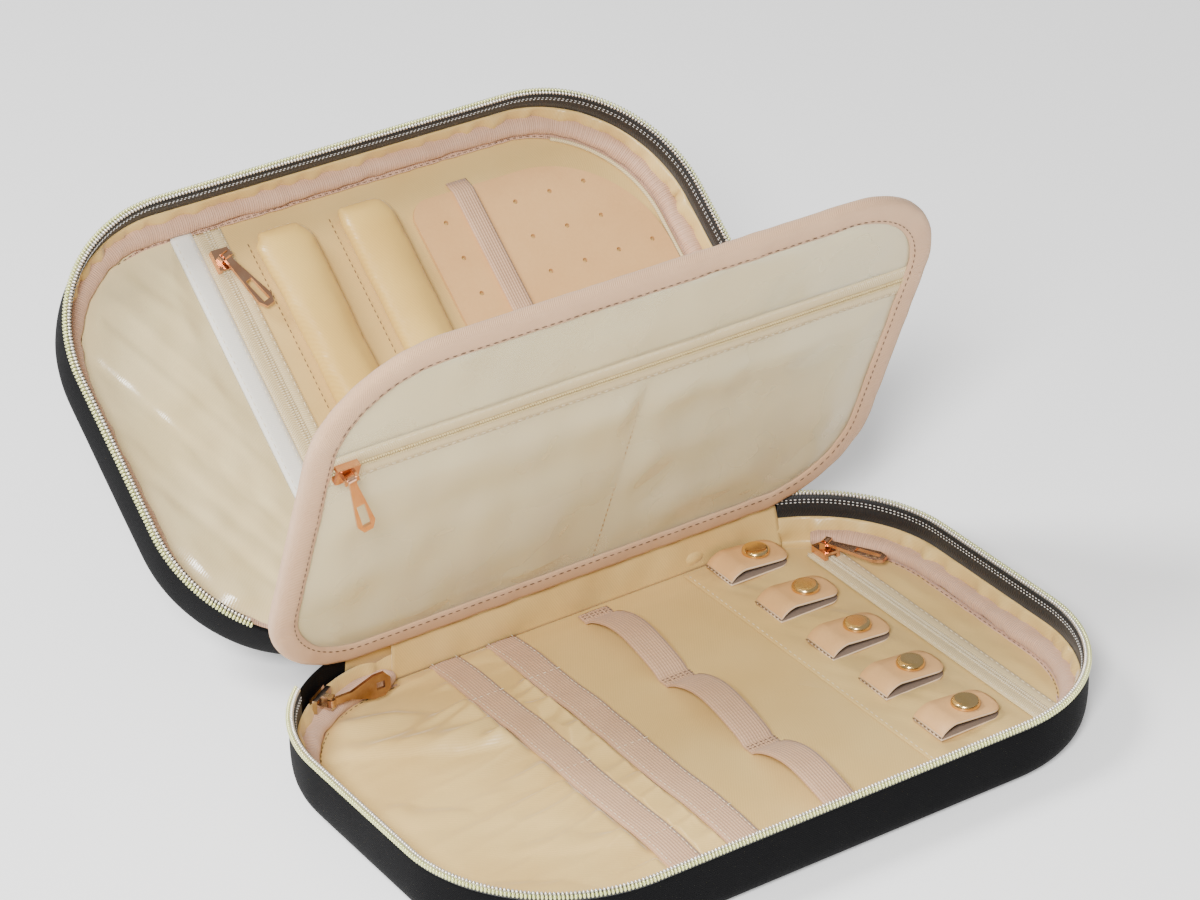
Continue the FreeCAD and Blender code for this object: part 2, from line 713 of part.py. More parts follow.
def main_zipper_runner():
    """The main slider, parked at the zipper's left end inside the back corner, and its pull."""
    corner = (-(SIDE - D["corner_radius"]), BACK - D["corner_radius"])
    radius = float(D["corner_radius"] - D["shell_wall"] - D["tape_thickness"] - D["slider_gap"])
    angle = float(D["main_slider_angle"])
    bearing = math.radians(90 + angle)
    foot = (float(corner[0]) + radius * math.cos(bearing), float(corner[1]) + radius * math.sin(bearing))
    low = ROLL_Z + D["roll_diameter"] / 2 + D["slider_gap"]
    length, depth, height = (D["main_slider_length"], D["main_slider_depth"], D["main_slider_height"])
    base = box("main_slider_base", (length, depth - D["eye_radius"], height),
               (-length / 2, -depth + D["eye_radius"], 0))
    slot = box("main_slider_slot", (length + 2 * PAST, D["main_slot_width"], height),
               (-length / 2 - PAST, -D["main_slot_depth"], height / 3))
    saddle = cut("main_slider_saddle", base, slot)
    pin_y = -depth - D["eye_radius"] + D["slider_gap"]
    ear_depth = D["eye_radius"] * 2 + D["pin_radius"]
    ear = (2 * (D["pin_radius"] + D["main_ear_margin"]), ear_depth, D["cheek_thickness"])
    ears = [box("main_slider_ear", ear, (-ear[0] / 2, pin_y - D["pin_radius"], z))
            for z in (0, height - D["cheek_thickness"])]
    pin = cylinder("main_slider_pin", D["pin_radius"], height, (0, pin_y, 0))
    place = at(foot[0], foot[1], low, [((0, 0, 1), angle)])
    keep(fuse("main_slider_body", [saddle] + ears + [pin]), "main_zipper_slider", place)
    hook = eye_and_window("main_zipper_pull", D["main_pull_length"], teardrop_outline,
                          teardrop_window)
    middle = place * at(0, pin_y, height / 2, [((0, 0, 1), -angle), ((1, 0, 0), 90)])
    keep(hook, "main_zipper_pull", middle)
    return middle.Base


# ---- the tray's own pieces --------------------------------------------------------------------------

def spine():
    """The spine's fabric: a strip on the back wall's top, rolled on the hinge line, and the flap."""
    right = SIDE - D["corner_radius"]
    left = -right
    body = new_body("spine_fold")
    strip = new_sketch(body, role="YZ_Plane", height=left)
    rectangle(strip, BACK - D["shell_wall"], BACK, WALL_TOP, AXIS_Z)
    pad(body, strip, right - left)
    bead = new_sketch(body, role="YZ_Plane", height=left)
    circle(bead, AXIS_Y, AXIS_Z, D["spine_fold_radius"])
    pad(body, bead, right - left)
    keep(body, "spine_fold")

    left = D["corner_radius"] + D["left_ends"] - SIDE
    right = SIDE - D["corner_radius"] + D["flap_past_corner"] - D["flap_bead_radius"]
    body = new_body("spine_flap")
    sheet_sketch = new_sketch(body, role="YZ_Plane", height=left)
    thickness = D["flap_thickness"]
    polygon(sheet_sketch, [(FLAP_Y, FLOOR), (FLAP_Y + thickness, FLOOR),
                           (PAGE_Y + thickness, PAGE_Z), (PAGE_Y, PAGE_Z)])
    pad(body, sheet_sketch, right - left)
    top = new_sketch(body, role="YZ_Plane", height=left)
    circle(top, PAGE_Y, PAGE_Z, D["flap_bead_radius"])
    pad(body, top, right - left)
    keep(body, "spine_flap")


def strip_plate(label, left, right, low_y, high_y, base, thickness):
    """A plain strip or panel with square corners."""
    body = new_body(label)
    sketch = new_sketch(body, height=base)
    rectangle(sketch, left, right, low_y, high_y)
    pad(body, sketch, thickness)
    return body


def end_panel(label, side, edge_x, base, thickness):
    """A panel that fills one end of a half up to the bound roll, with a straight edge at edge_x."""
    body = new_body(label)
    sketch = new_sketch(body, height=base)
    case_outline(sketch, FITTING_INSET)
    pad(body, sketch, thickness)
    far = SIDE
    trim = new_sketch(body, height=base + thickness)
    if side == "left":
        rectangle(trim, edge_x, far, -BACK, BACK)
    else:
        rectangle(trim, -far, edge_x, -BACK, BACK)
    pocket(body, trim, thickness)
    return body


def tray_pockets():
    """The gathered pocket with its two elastic mouths, and the zipped panel under the straps."""
    band = D["pocket_band_width"]
    left_band, right_band = D["left_band_x"] - SIDE, D["right_band_x"] - SIDE
    keep(end_panel("gathered_pocket_outer", "left", left_band, FLOOR, D["gather_thickness"]),
         "gathered_pocket_outer")
    keep(strip_plate("pocket_band_left", left_band, left_band + band, FITTING_FRONT, FITTING_BACK,
                     FLOOR, D["pocket_band_height"]), "pocket_band_left")
    keep(strip_plate("gathered_pocket_inner", left_band + band, right_band, FITTING_FRONT,
                     FITTING_BACK, FLOOR, D["gather_thickness"]), "gathered_pocket_inner")
    keep(strip_plate("pocket_band_right", right_band, right_band + band, FITTING_FRONT, FITTING_BACK,
                     FLOOR, D["pocket_band_height"]), "pocket_band_right")
    keep(end_panel("tray_pocket_panel", "right", SIDE - D["panel_left_x"], FLOOR, D["panel_thickness"]),
         "tray_pocket_panel")


def pocket_zipper(name, x, near, far, base, place=None):
    """A straight pocket zipper along Y: the tape and, on it, the coil."""
    half_tape, half_coil = D["pocket_tape_width"] / 2, D["coil_width"] / 2
    keep(strip_plate(name + "_tape", x - half_tape, x + half_tape, near, far, base,
                     D["pocket_tape_thickness"]), name + "_tape", place)
    keep(strip_plate(name + "_coil", x - half_coil, x + half_coil, near, far,
                     base + D["pocket_tape_thickness"], D["coil_height"]), name + "_coil", place)


def loop_strip():
    """The elastic strip, stitched down between its loops."""
    thickness, foot = D["loop_thickness"], float(D["loop_foot"])
    start = float(D["loop_end"] - FITTING_BACK)
    end = float(-FITTING_FRONT - D["loop_end"])
    low = float(FLOOR + thickness / 2)
    span = (end - start - foot * (LOOPS + 1)) / LOOPS
    path = [(start, low)]
    for n in range(LOOPS):
        begin = start + foot + n * (span + foot)
        for step in range(ARCH_STEPS + 1):
            share = step / ARCH_STEPS
            rise = float(D["loop_rise"]) * math.sin(math.pi * share) ** LOOP_FULLNESS
            path.append((begin + share * span, low + rise))
    path.append((end, low))
    keep(ribbon("elastic_loop_strip", path, thickness, D["loop_width"], D["loop_x"], "y"),
         "elastic_loop_strip")


STRAP_X = SIDE - D["strap_x"]
STRAP_TOP = PANEL_TOP + D["strap_thickness"]
SOCKET_LOW = STRAP_TOP + D["stud_flange"] + D["snap_gap"]
FLAP_LOW = SOCKET_LOW + D["stud_height"] + D["socket_wall"]
FOLD_Z = STRAP_TOP + D["strap_fold_gap"] + D["strap_thickness"] / 2


def strap_y(number):
    """The middle of one strap."""
    run = D["case_depth"] - D["strap_first_back"] - D["strap_last_front"]
    return BACK - D["strap_first_back"] - number * run / (STRAPS - 1)


def strap_parts():
    """Five folded straps: bases and studs stay on the tray, flaps and snap caps turn on the folds."""
    snap_x = STRAP_X + D["snap_x"]
    bases, studs = [], []
    for number in range(STRAPS):
        y = strap_y(number)
        bases.append(box("strap_base", (D["strap_length"], D["strap_width"], D["strap_thickness"]),
                         (STRAP_X, y - D["strap_width"] / 2, PANEL_TOP)))
        flange = cylinder("stud_flange", D["socket_radius"], D["stud_flange"], (snap_x, y, STRAP_TOP))
        stud = cylinder("stud_post", D["stud_radius"], D["stud_height"],
                        (snap_x, y, STRAP_TOP + D["stud_flange"]))
        studs.append(fuse("stud", [flange, stud]))
    for label, pieces in (("strap_bases", bases), ("snap_studs", studs)):
        group = doc.addObject("Part::Compound", label)
        group.Links = pieces
        keep(group, label)
    for number in range(STRAPS):
        y = strap_y(number)
        strap_flap(number, y)
        snap_cap(number, snap_x, y)


def strap_flap(number, y):
    """One flap: out of the fold, over a soft belly, and flat under the snap to its free end."""
    label = f"strap_flap_{number + 1}"
    thickness = D["strap_thickness"]
    start = float(STRAP_X + thickness / 2)
    end = float(STRAP_X + D["strap_length"])
    rest = float(FLAP_LOW + thickness / 2)
    first = float(FOLD_Z)
    calm = float(STRAP_X + D["snap_x"] - D["snap_radius"])
    path = []
    for step in range(ARCH_STEPS + 1):
        share = step / ARCH_STEPS
        level = first + (rest - first) * math.sin(share * math.pi / 2)
        belly = float(D["strap_belly"]) * math.sin(math.pi * share ** BELLY_FORWARD)
        path.append((start + share ** FOLD_TIGHTNESS * (calm - start), level + belly))
    path.append((end, rest))
    band = ribbon(label + "_band", path, thickness, D["strap_width"], y, "x")
    hole = cylinder(label + "_hole", D["stud_radius"], 2 * thickness,
                    (STRAP_X + D["snap_x"], y, FLAP_LOW - thickness / 2))
    keep(cut(label, band, hole), label)


def snap_cap(number, x, y):
    """One snap cap: domed head, rivet through the flap, and the socket that takes the stud."""
    label = f"snap_cap_{number + 1}"
    flap_top = FLAP_LOW + D["strap_thickness"]
    head = cylinder(label + "_head", D["snap_radius"], D["snap_dome"], (x, y, flap_top))
    doc.recompute()
    dome = doc.addObject("Part::Fillet", label + "_dome")
    dome.Base = head
    rim = next(n for n, edge in enumerate(head.Shape.Edges, start=1)
               if at_height(flap_top + D["snap_dome"])(edge))
    rounding = float(D["snap_dome"]) * DOME_ROUNDING
    dome.Edges = [(rim, rounding, rounding)]
    rivet = cylinder(label + "_rivet", D["stud_radius"], D["strap_thickness"], (x, y, FLAP_LOW))
    socket = cylinder(label + "_socket", D["socket_radius"], FLAP_LOW - SOCKET_LOW,
                      (x, y, SOCKET_LOW))
    recess = cylinder(label + "_recess", D["stud_radius"] + D["snap_gap"], D["stud_height"],
                      (x, y, SOCKET_LOW))
    keep(cut(label + "_cap", fuse(label + "_whole", [dome, rivet, socket]), recess), label)


# ---- the lid's own pieces ---------------------------------------------------------------------------

def lid_y(v):
    """The lid drawn as a tray has its hinge on the -Y side; v counts from the hinge line."""
    return v - AXIS_Y


def from_far(gap):
    """A place in the lid drawn as a tray, counted from its far side."""
    return BACK - gap


LID_TRACK = D["lid_pocket_x"] - SIDE + D["lid_track_x"]


def lid_fittings(place):
    """Glossy pocket, its zipper, two ring rolls, and the band over the earring board."""
    near, far = FITTING_FRONT, -FITTING_FRONT
    edge = D["lid_pocket_x"] - SIDE
    strip_end = edge + D["lid_strip_width"]
    keep(end_panel("lid_pocket_panel", "left", edge, FLOOR, D["panel_thickness"]),
         "lid_pocket_panel", place)
    keep(strip_plate("lid_pocket_edge_strip", edge, strip_end, near, far, FLOOR,
                     D["panel_thickness"]), "lid_pocket_edge_strip", place)
    pocket_zipper("lid_pocket", LID_TRACK, near, far, FLOOR, place)
    first = D["ring_roll_x"] - SIDE
    for name, left in (("ring_roll_left", first), ("ring_roll_right", first + D["ring_roll_pitch"])):
        keep(ring_roll(name, left), name, place)
    thickness = D["board_band_thickness"]
    foot = D["board_band_foot"]
    low = float(FLOOR + thickness / 2)
    high = float(FLOOR + 2 * D["board_gap"] + D["board_leather"] + thickness / 2)
    start = float(-lid_y(D["board_near"] - D["board_travel"])) + float(2 * D["board_gap"])
    finish = float(-from_far(D["board_far"])) - float(2 * D["board_gap"])
    step = high - low
    path = [(finish - step - float(foot), low), (finish - step, low), (finish, high),
            (start, high), (start + step, low), (start + step + float(foot), low)]
    middle = SIDE - D["board_right"] - D["board_width"] + D["board_band_x"]
    keep(ribbon("board_band", path, thickness, D["board_band_width"], middle, "y"), "board_band",
         place)


def ring_roll(label, left):
    """A padded roll with a round back, flat where it is sewn down."""
    body = new_body(label)
    sketch = new_sketch(body, height=FLOOR)
    width = D["ring_roll_width"]
    rectangle(sketch, left, left + width, FITTING_FRONT, from_far(D["ring_roll_far"]))
    block = pad(body, sketch, D["ring_roll_height"])
    top = FLOOR + D["ring_roll_height"]

    def long_top(edge):
        return at_height(top)(edge) and edge.BoundBox.YLength > float(width)

    fillet(body, block, long_top, D["ring_roll_height"] * RING_ROLL_ROUNDING)
    return body


def earring_board(place):
    """The punched leather board, loose under its band."""
    body = new_body("earring_board")
    right = SIDE - D["board_right"]
    left = right - D["board_width"]
    far = from_far(D["board_far"])
    near = lid_y(D["board_near"])
    base = FLOOR + D["board_gap"]
    sketch = new_sketch(body, height=base)
    rectangle(sketch, left, right, near, far)
    feature = pad(body, sketch, D["board_leather"])
    corners = ((left, near, D["board_corner"]), (left, far, D["board_corner"]),
               (right, far, D["board_far_corner"]), (right, near, D["board_near_corner"]))
    for x, y, radius in corners:
        feature = fillet(body, feature, upright_near(x, y), radius)
    margin = D["board_pitch"] * BOARD_MARGIN
    holes = new_sketch(body, height=base + D["board_leather"])
    for column in range(BOARD_COLUMNS):
        for row in range(BOARD_ROWS):
            x = left + margin + column * D["board_pitch"]
            y = far - margin - row * D["board_pitch"]
            if board_hole_fits(float(x), float(y), float(right), float(near), float(far)):
                circle(holes, x, y, D["board_hole"])
    pocket(body, holes, D["board_leather"])
    keep(body, "earring_board", place)


def board_hole_fits(x, y, right, near, far):
    """A hole is left out where the board's two large corners round it off."""
    edge = float(D["board_hole"]) * HOLE_CLEAR
    for corner_y, radius in ((far, float(D["board_far_corner"])), (near, float(D["board_near_corner"]))):
        centre_y = corner_y - math.copysign(radius, corner_y - y)
        beyond = x > right - radius and abs(corner_y - y) < radius
        if beyond and math.hypot(x - right + radius, y - centre_y) > radius - edge:
            return False
    return True


# ---- the page ---------------------------------------------------------------------------------------

PAGE_HALF = SIDE - D["page_side"]
PAGE_FAR = -(PAGE_Y + BACK - D["page_front"])
PAGE_NEAR = -D["page_start"]
PAGE_CORNER = D["corner_radius"] - D["page_corner_step"]
PAGE_BACK = D["page_board_thickness"] - D["page_film"]
COVER_TOP = PAGE_BACK + D["page_cover"]
FILM_LOW = -2 * D["page_film"]
PAGE_TRACK = PAGE_FAR + D["page_track"]
TAPE_FAR = PAGE_TRACK - D["page_tape_width"] / 2
TAPE_NEAR = PAGE_TRACK + D["page_tape_width"] / 2
PAGE_INNER = PAGE_HALF - D["page_binding_width"]
PAGE_COIL_HALF = PAGE_INNER - corner_cut(
    PAGE_CORNER - D["page_binding_width"],
    D["page_track"] - D["coil_width"] / 2 - D["page_binding_width"])
PAGE_SLIDER_END = PAGE_INNER - corner_cut(
    PAGE_CORNER - D["page_binding_width"],
    D["page_track"] - D["slider_width"] / 2 - D["page_binding_width"])
PAGE_SLIDER_X = D["fitting_gap"] + D["slider_length"] / 2 - PAGE_SLIDER_END


def page_outline(sketch, inset):
    """The page's outline, inset from its bound edge."""
    rounded(sketch, -PAGE_HALF + inset, PAGE_HALF - inset, PAGE_FAR + inset, PAGE_NEAR - inset,
            PAGE_CORNER - inset)


def page_layer(label, base, thickness, keep_from=None, keep_to=None):
    """One layer of the page, whole or only the part between two lines across it."""
    body = new_body(label)
    sketch = new_sketch(body, height=base)
    page_outline(sketch, D["page_binding_lip"])
    pad(body, sketch, thickness)
    for low, high in ((PAGE_FAR - PAST, keep_from), (keep_to, as_size(PAST))):
        if low is not None and high is not None:
            trim = new_sketch(body, height=base + thickness)
            rectangle(trim, -PAGE_HALF - 1, PAGE_HALF + 1, low, high)
            pocket(body, trim, thickness)
    return body


def page_parts():
    """Board, cover, clear pocket films, zipper, binding, slider and pull of the page."""
    place = page_place()
    keep(page_layer("page_board", -D["page_film"], D["page_board_thickness"]), "page_board", place)
    keep(page_layer("page_back_cover", PAGE_BACK, D["page_cover"]), "page_back_cover", place)
    film = D["page_film"]
    keep(page_layer("page_upper_window", FILM_LOW, film, keep_to=TAPE_FAR), "page_upper_window", place)
    keep(page_layer("page_lower_window", FILM_LOW, film, keep_from=TAPE_NEAR),
         "page_lower_window", place)
    keep(page_layer("page_pocket_tape", FILM_LOW, film, keep_from=TAPE_FAR, keep_to=TAPE_NEAR),
         "page_pocket_tape", place)
    half = D["coil_width"] / 2
    keep(strip_plate("page_pocket_coil", -PAGE_COIL_HALF, PAGE_COIL_HALF, PAGE_TRACK - half,
                     PAGE_TRACK + half, FILM_LOW - D["coil_height"], D["coil_height"]),
         "page_pocket_coil", place)
    keep(page_binding(), "page_binding", place)
    face = place * at(PAGE_SLIDER_X, PAGE_TRACK, FILM_LOW, [((1, 0, 0), 180)])
    slider("page_pocket_slider", PAGE_PULL_YAW, face)
    pull("page_pocket_pull", PAGE_PULL_YAW, D["page_pull_lean"], face)


def page_binding():
    """The bound edge: a frame, grooved so that it laps both faces of the page."""
    body = new_body("page_binding")
    wall = D["page_binding_wall"]
    frame = new_sketch(body, height=FILM_LOW - wall)
    page_outline(frame, as_size(0))
    page_outline(frame, D["page_binding_width"])
    pad(body, frame, COVER_TOP - FILM_LOW + 2 * wall)
    groove = new_sketch(body, height=COVER_TOP)
    page_outline(groove, D["page_binding_lip"])
    pocket(body, groove, COVER_TOP - FILM_LOW)
    return body


# ---- assembly ---------------------------------------------------------------------------------------

def write_parts():
    """Checks every object and writes each sub-part to its own STEP file."""
    doc.recompute()
    for thing in doc.Objects:
        if "Invalid" in thing.State or "Error" in thing.State:
            raise RuntimeError(f"{thing.Name} failed: {thing.State}")
    os.makedirs("parts", exist_ok=True)
    for label, thing in parts.items():
        shape = thing.Shape
        if shape.isNull() or not shape.isValid():
            raise RuntimeError(f"{label}: its shape is not valid")
        if len(shape.Solids) == 0:
            raise RuntimeError(f"{label}: it has no solid")
        shape.exportStep(f"parts/{label}.step")
    print(f"{len(parts)} sub-parts written")


def report_joints(main_pin):
    """Prints where the joints are, for whoever writes the record."""
    lid, page = lid_place(), page_place()
    print("lid hinge", float(AXIS_Y), float(AXIS_Z))
    print("page hinge", float(PAGE_Y), float(PAGE_Z))
    print("strap hinge", float(STRAP_X + D["strap_thickness"] / 2), float(FOLD_Z))
    print("main pull pin", tuple(round(v, 4) for v in main_pin))
    tray_pin = Vector(float(TRAY_TRACK), float(TRAY_SLIDER_Y),
                      float(PANEL_TOP + D["pocket_tape_thickness"] + PIN_Z))
    print("tray pull pin", tuple(tray_pin))
    lid_pin = lid.multVec(Vector(float(LID_TRACK), float(from_far(D["lid_slider_far"])),
                                 float(FLOOR + D["pocket_tape_thickness"] + PIN_Z)))
    print("lid pull pin", tuple(lid_pin))
    page_pin = page.multVec(Vector(float(PAGE_SLIDER_X), float(PAGE_TRACK),
                                   float(FILM_LOW - PIN_Z)))
    print("page pull pin", tuple(page_pin))
    print("floor", float(FLOOR), "fittings from", float(FITTING_FRONT), "to", float(FITTING_BACK))


def build():
    """Builds every sub-part and writes the files."""
    lid = lid_place()
    half_case("tray", TRAY)
    spine()
    tray_pockets()
    pocket_zipper("tray_pocket", TRAY_TRACK, -TRAY_TRACK_END, TRAY_TRACK_END, PANEL_TOP)
    loop_strip()
    strap_parts()
    tray_tape = PANEL_TOP + D["pocket_tape_thickness"]
    tray_slider = at(TRAY_TRACK, TRAY_SLIDER_Y, tray_tape, [((0, 0, 1), -90)])
    slider("tray_pocket_slider", TRAY_PULL_YAW, tray_slider)
    pull("tray_pocket_pull", TRAY_PULL_YAW, 0, tray_slider)
    main_pin = main_zipper_runner()
    half_case("lid", LID, lid)
    lid_fittings(lid)
    earring_board(lid)
    lid_tape = FLOOR + D["pocket_tape_thickness"]
    lid_slider = lid * at(LID_TRACK, from_far(D["lid_slider_far"]), lid_tape, [((0, 0, 1), -90)])
    slider("lid_pocket_slider", LID_PULL_YAW, lid_slider)
    pull("lid_pocket_pull", LID_PULL_YAW, 0, lid_slider)
    page_parts()
    report_joints(main_pin)
    write_parts()


build()
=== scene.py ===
# %% [markdown]
# # A soft zip-round jewellery case
#
# The case is two padded halves on a fabric spine: a tray with pockets and snap straps, and a lid with
# ring rolls and an earring board. A padded page with a clear zipped pocket hangs between them. Each step
# below makes one layer of it, from the outside in, in the order in which a maker would sew it.
#
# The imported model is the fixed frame. Every length below is a millimetre until `new_piece` turns it into
# metres, and every place is worked out from the boxes of the frame's nodes.

# %% Load the frame
import json
import math

import bmesh
import bpy
import numpy as np
from mathutils import Matrix, Vector, noise

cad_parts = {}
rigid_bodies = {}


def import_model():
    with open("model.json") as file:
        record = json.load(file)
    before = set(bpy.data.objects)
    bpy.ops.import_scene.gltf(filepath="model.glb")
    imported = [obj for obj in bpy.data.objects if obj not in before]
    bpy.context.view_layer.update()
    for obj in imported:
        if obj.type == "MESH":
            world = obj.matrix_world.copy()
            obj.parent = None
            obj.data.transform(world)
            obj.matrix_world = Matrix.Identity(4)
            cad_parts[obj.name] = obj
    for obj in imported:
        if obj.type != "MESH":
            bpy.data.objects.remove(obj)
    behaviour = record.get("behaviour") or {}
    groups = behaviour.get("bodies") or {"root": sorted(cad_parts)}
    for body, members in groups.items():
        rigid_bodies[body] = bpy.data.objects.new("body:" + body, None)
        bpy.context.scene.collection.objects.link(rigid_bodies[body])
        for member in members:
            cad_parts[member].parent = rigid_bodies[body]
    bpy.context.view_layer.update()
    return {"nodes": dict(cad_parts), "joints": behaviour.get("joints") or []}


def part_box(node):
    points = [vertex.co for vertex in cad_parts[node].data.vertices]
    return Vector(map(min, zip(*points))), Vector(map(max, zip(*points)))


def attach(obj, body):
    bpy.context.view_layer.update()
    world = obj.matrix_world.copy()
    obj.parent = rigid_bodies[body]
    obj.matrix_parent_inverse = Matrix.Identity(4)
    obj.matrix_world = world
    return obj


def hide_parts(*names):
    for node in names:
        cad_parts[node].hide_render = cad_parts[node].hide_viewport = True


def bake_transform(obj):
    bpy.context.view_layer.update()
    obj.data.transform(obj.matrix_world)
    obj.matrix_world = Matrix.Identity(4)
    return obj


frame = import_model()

MM = 0.001
NODES = frame["nodes"]
JOINTS = {joint["name"]: joint for joint in frame["joints"]}


def span(node):
    """A node's lowest and highest corner, in millimetres."""
    low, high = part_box(node)
    return np.array(low) / MM, np.array(high) / MM


# %% [markdown]
# Both halves are the same shell. It is easiest to draw the lid as a second tray that lies rim up, and the
# page as if it lay closed, and to swing each one open about its hinge at the end. Three matrices, the
# drawing boards, do that. The hinge lines and the angles come from the joints of the frame.

# %% Three drawing boards
SIDE, BACK, WALL_TOP = span("tray_outer_shell")[1]
RIM = span("tray_zipper_teeth")[1][2]
CORNER = 55.0
LINING_THICKNESS = 0.6
FLOOR = span("tray_lining")[0][2] + LINING_THICKNESS
LID_AXIS = np.array(JOINTS["lid_hinge"]["pos_m"]) / MM
PAGE_AXIS = np.array(JOINTS["page_hinge"]["pos_m"]) / MM
LID_OPEN = math.radians(180 + JOINTS["lid_hinge"]["range_deg"][0])
PAGE_OPEN = math.radians(JOINTS["page_hinge"]["range_deg"][0])


def in_metres(board):
    """The same drawing board for places in metres: the same turn, with its shift in metres."""
    metres = board.copy()
    metres.translation = board.translation * MM
    return metres


LID = (Matrix.Translation(LID_AXIS) @ Matrix.Rotation(LID_OPEN, 4, "X")
       @ Matrix.Translation(-LID_AXIS) @ Matrix.Translation((0, 2 * LID_AXIS[1], 0)))
PAGE = Matrix.Translation(PAGE_AXIS) @ Matrix.Rotation(PAGE_OPEN, 4, "X")
TRAY_BOARD, LID_BOARD, PAGE_BOARD = Matrix.Identity(4), in_metres(LID), in_metres(PAGE)

# The spine is on the far side of the tray, and on the near side of the lid as it is drawn.
TRAY_SPINE, LID_SPINE = 1, -1
HALVES = (("tray", TRAY_BOARD, TRAY_SPINE), ("lid", LID_BOARD, LID_SPINE))
print("half of", 2 * SIDE, "x", 2 * BACK, "mm, rim at", round(RIM, 2), "floor at", round(FLOOR, 2))

# %% [markdown]
# The camera stands to the left of the front edge, a little above, and far away with a long lens, which
# keeps the case's edges nearly parallel. It leans by about one degree.

# %% Camera
CAMERA_PLACE = (-0.6167, -0.8998, 0.7294)
CAMERA_TURN = (60.329, 1.177, -33.633)
CAMERA_LENS = 121.0

camera_data = bpy.data.cameras.new("camera")
camera_data.lens = CAMERA_LENS
camera_data.clip_start, camera_data.clip_end = 0.05, 20
camera = bpy.data.objects.new("camera", camera_data)
camera.location = CAMERA_PLACE
camera.rotation_euler = [math.radians(angle) for angle in CAMERA_TURN]
bpy.context.scene.collection.objects.link(camera)
bpy.context.scene.camera = camera
print("camera with a", CAMERA_LENS, "mm lens")

# %% [markdown]
# Shader maths reads best as arithmetic. `Wire` wraps a socket, so that `wave * 0.5 + 0.5` adds its Math
# nodes, and `Finish` holds one material with a single method that adds any other node.

# %% A small language for materials


class Wire:
    """A socket of a material's tree that takes part in Python expressions."""

    def __init__(self, finish, socket):
        self.finish, self.socket = finish, socket

    def math(self, operation, *others):
        return self.finish.node("Math", {"operation": operation}, dict(enumerate([self, *others])))

    def __add__(self, other):
        return self.math("ADD", other)

    def __radd__(self, other):
        return self.math("ADD", other)

    def __mul__(self, other):
        return self.math("MULTIPLY", other)

    def __rmul__(self, other):
        return self.math("MULTIPLY", other)

    def __sub__(self, other):
        return self.math("SUBTRACT", other)

    def __rsub__(self, other):
        return (self * -1.0) + other

    def wave(self, pitch):
        """A ripple from 0 to 1, one for each pitch in metres."""
        return (self * (2 * math.pi / pitch)).math("SINE") * 0.5 + 0.5


class Finish:
    """One material: a Principled shader and the nodes that feed it."""

    def __init__(self, name, **constants):
        self.material = bpy.data.materials.new(name)
        self.material.use_nodes = True
        self.tree = self.material.node_tree
        self.shader = self.tree.nodes["Principled BSDF"]
        for socket, value in constants.items():
            self.shader.inputs[socket.replace("_", " ")].default_value = value

    def node(self, kind, settings=None, sockets=None, out=0):
        """Adds a node, sets it up, feeds its sockets and gives one of its outputs."""
        made = self.tree.nodes.new("ShaderNode" + kind)
        for key, value in (settings or {}).items():
            setattr(made, key, value)
        for key, value in (sockets or {}).items():
            self.plug(value, made.inputs[key])
        return Wire(self, made.outputs[out])

    def plug(self, value, socket):
        if isinstance(value, Wire):
            self.tree.links.new(value.socket, socket)
        else:
            socket.default_value = value

    def surface(self):
        """Metres along and across the piece, from its own UV map."""
        return self.apart(self.node("UVMap", {"uv_map": "Surface"}))

    def solid(self):
        """Metres in the room, from the Object output of the texture coordinates."""
        return self.node("TexCoord", out=3)

    def apart(self, vector):
        parts = self.tree.nodes.new("ShaderNodeSeparateXYZ")
        self.plug(vector, parts.inputs[0])
        return [Wire(self, socket) for socket in parts.outputs]

    def noise(self, size, detail=3.0):
        """Soft noise whose patches are about size metres across."""
        return self.node("TexNoise", None, {"Vector": self.solid(), "Scale": 1 / size, "Detail": detail})

    def blend(self, share, first, second):
        """A colour between two colours or links, by share."""
        return self.node("Mix", {"data_type": "RGBA"}, {0: share, 6: first, 7: second}, out=2)

    def colour(self, value):
        self.plug(value, self.shader.inputs["Base Color"])

    def rough(self, value):
        self.plug(value, self.shader.inputs["Roughness"])

    def relief(self, height, depth, strength):
        """Bump of that depth in metres."""
        bump = self.node("Bump", None, {"Strength": strength, "Distance": depth, "Height": height})
        self.plug(bump, self.shader.inputs["Normal"])


def tone(red, green, blue):
    """A paint-chip colour, 0 to 255, as the shader's linear values."""
    def linear(part):
        share = part / 255
        return share / 12.92 if share <= 0.04045 else ((share + 0.055) / 1.055) ** 2.4
    return (linear(red), linear(green), linear(blue), 1.0)


print("materials are written as expressions")

# %% [markdown]
# The outside is a coated nylon, almost black and quite matte. Its weave is much finer than a millimetre,
# so it shows as a faint grain, and the cloth is a little lighter where it has been handled.

# %% Black outer cloth
BLACK_THREAD = 0.0007


def black_cloth():
    finish = Finish("outer_fabric", Roughness=0.72, Specular_IOR_Level=0.12)
    along, across, up = finish.apart(finish.solid())
    thread = (along + up).wave(BLACK_THREAD) * (across + up).wave(BLACK_THREAD)
    worn = finish.noise(0.03, 4.0)
    finish.colour(finish.blend(worn * 0.6 + thread * 0.25, tone(3, 3, 4), tone(11, 11, 13)))
    finish.rough(worn * 0.18 + 0.66)
    finish.relief(thread + worn * 1.5, 0.00012, 0.6)
    return finish.material


BLACK = black_cloth()
print(BLACK.name)

# %% [markdown]
# The lining is a gold-beige satin. What makes satin is a twill so fine that light runs along it: a soft
# gloss, a faint diagonal grain, and a colour that drifts between straw and sand over a few centimetres.
# The lid's big pocket is the same cloth in a paler, much glossier make, the ring rolls are more golden, and
# the strip beside the lid's zipper and the cloth of the page's board are duller. The rolls' cloth takes its
# grain from the room's coordinates, because a remeshed cushion has no map of its own.

# %% Satin
TWILL = 0.0009


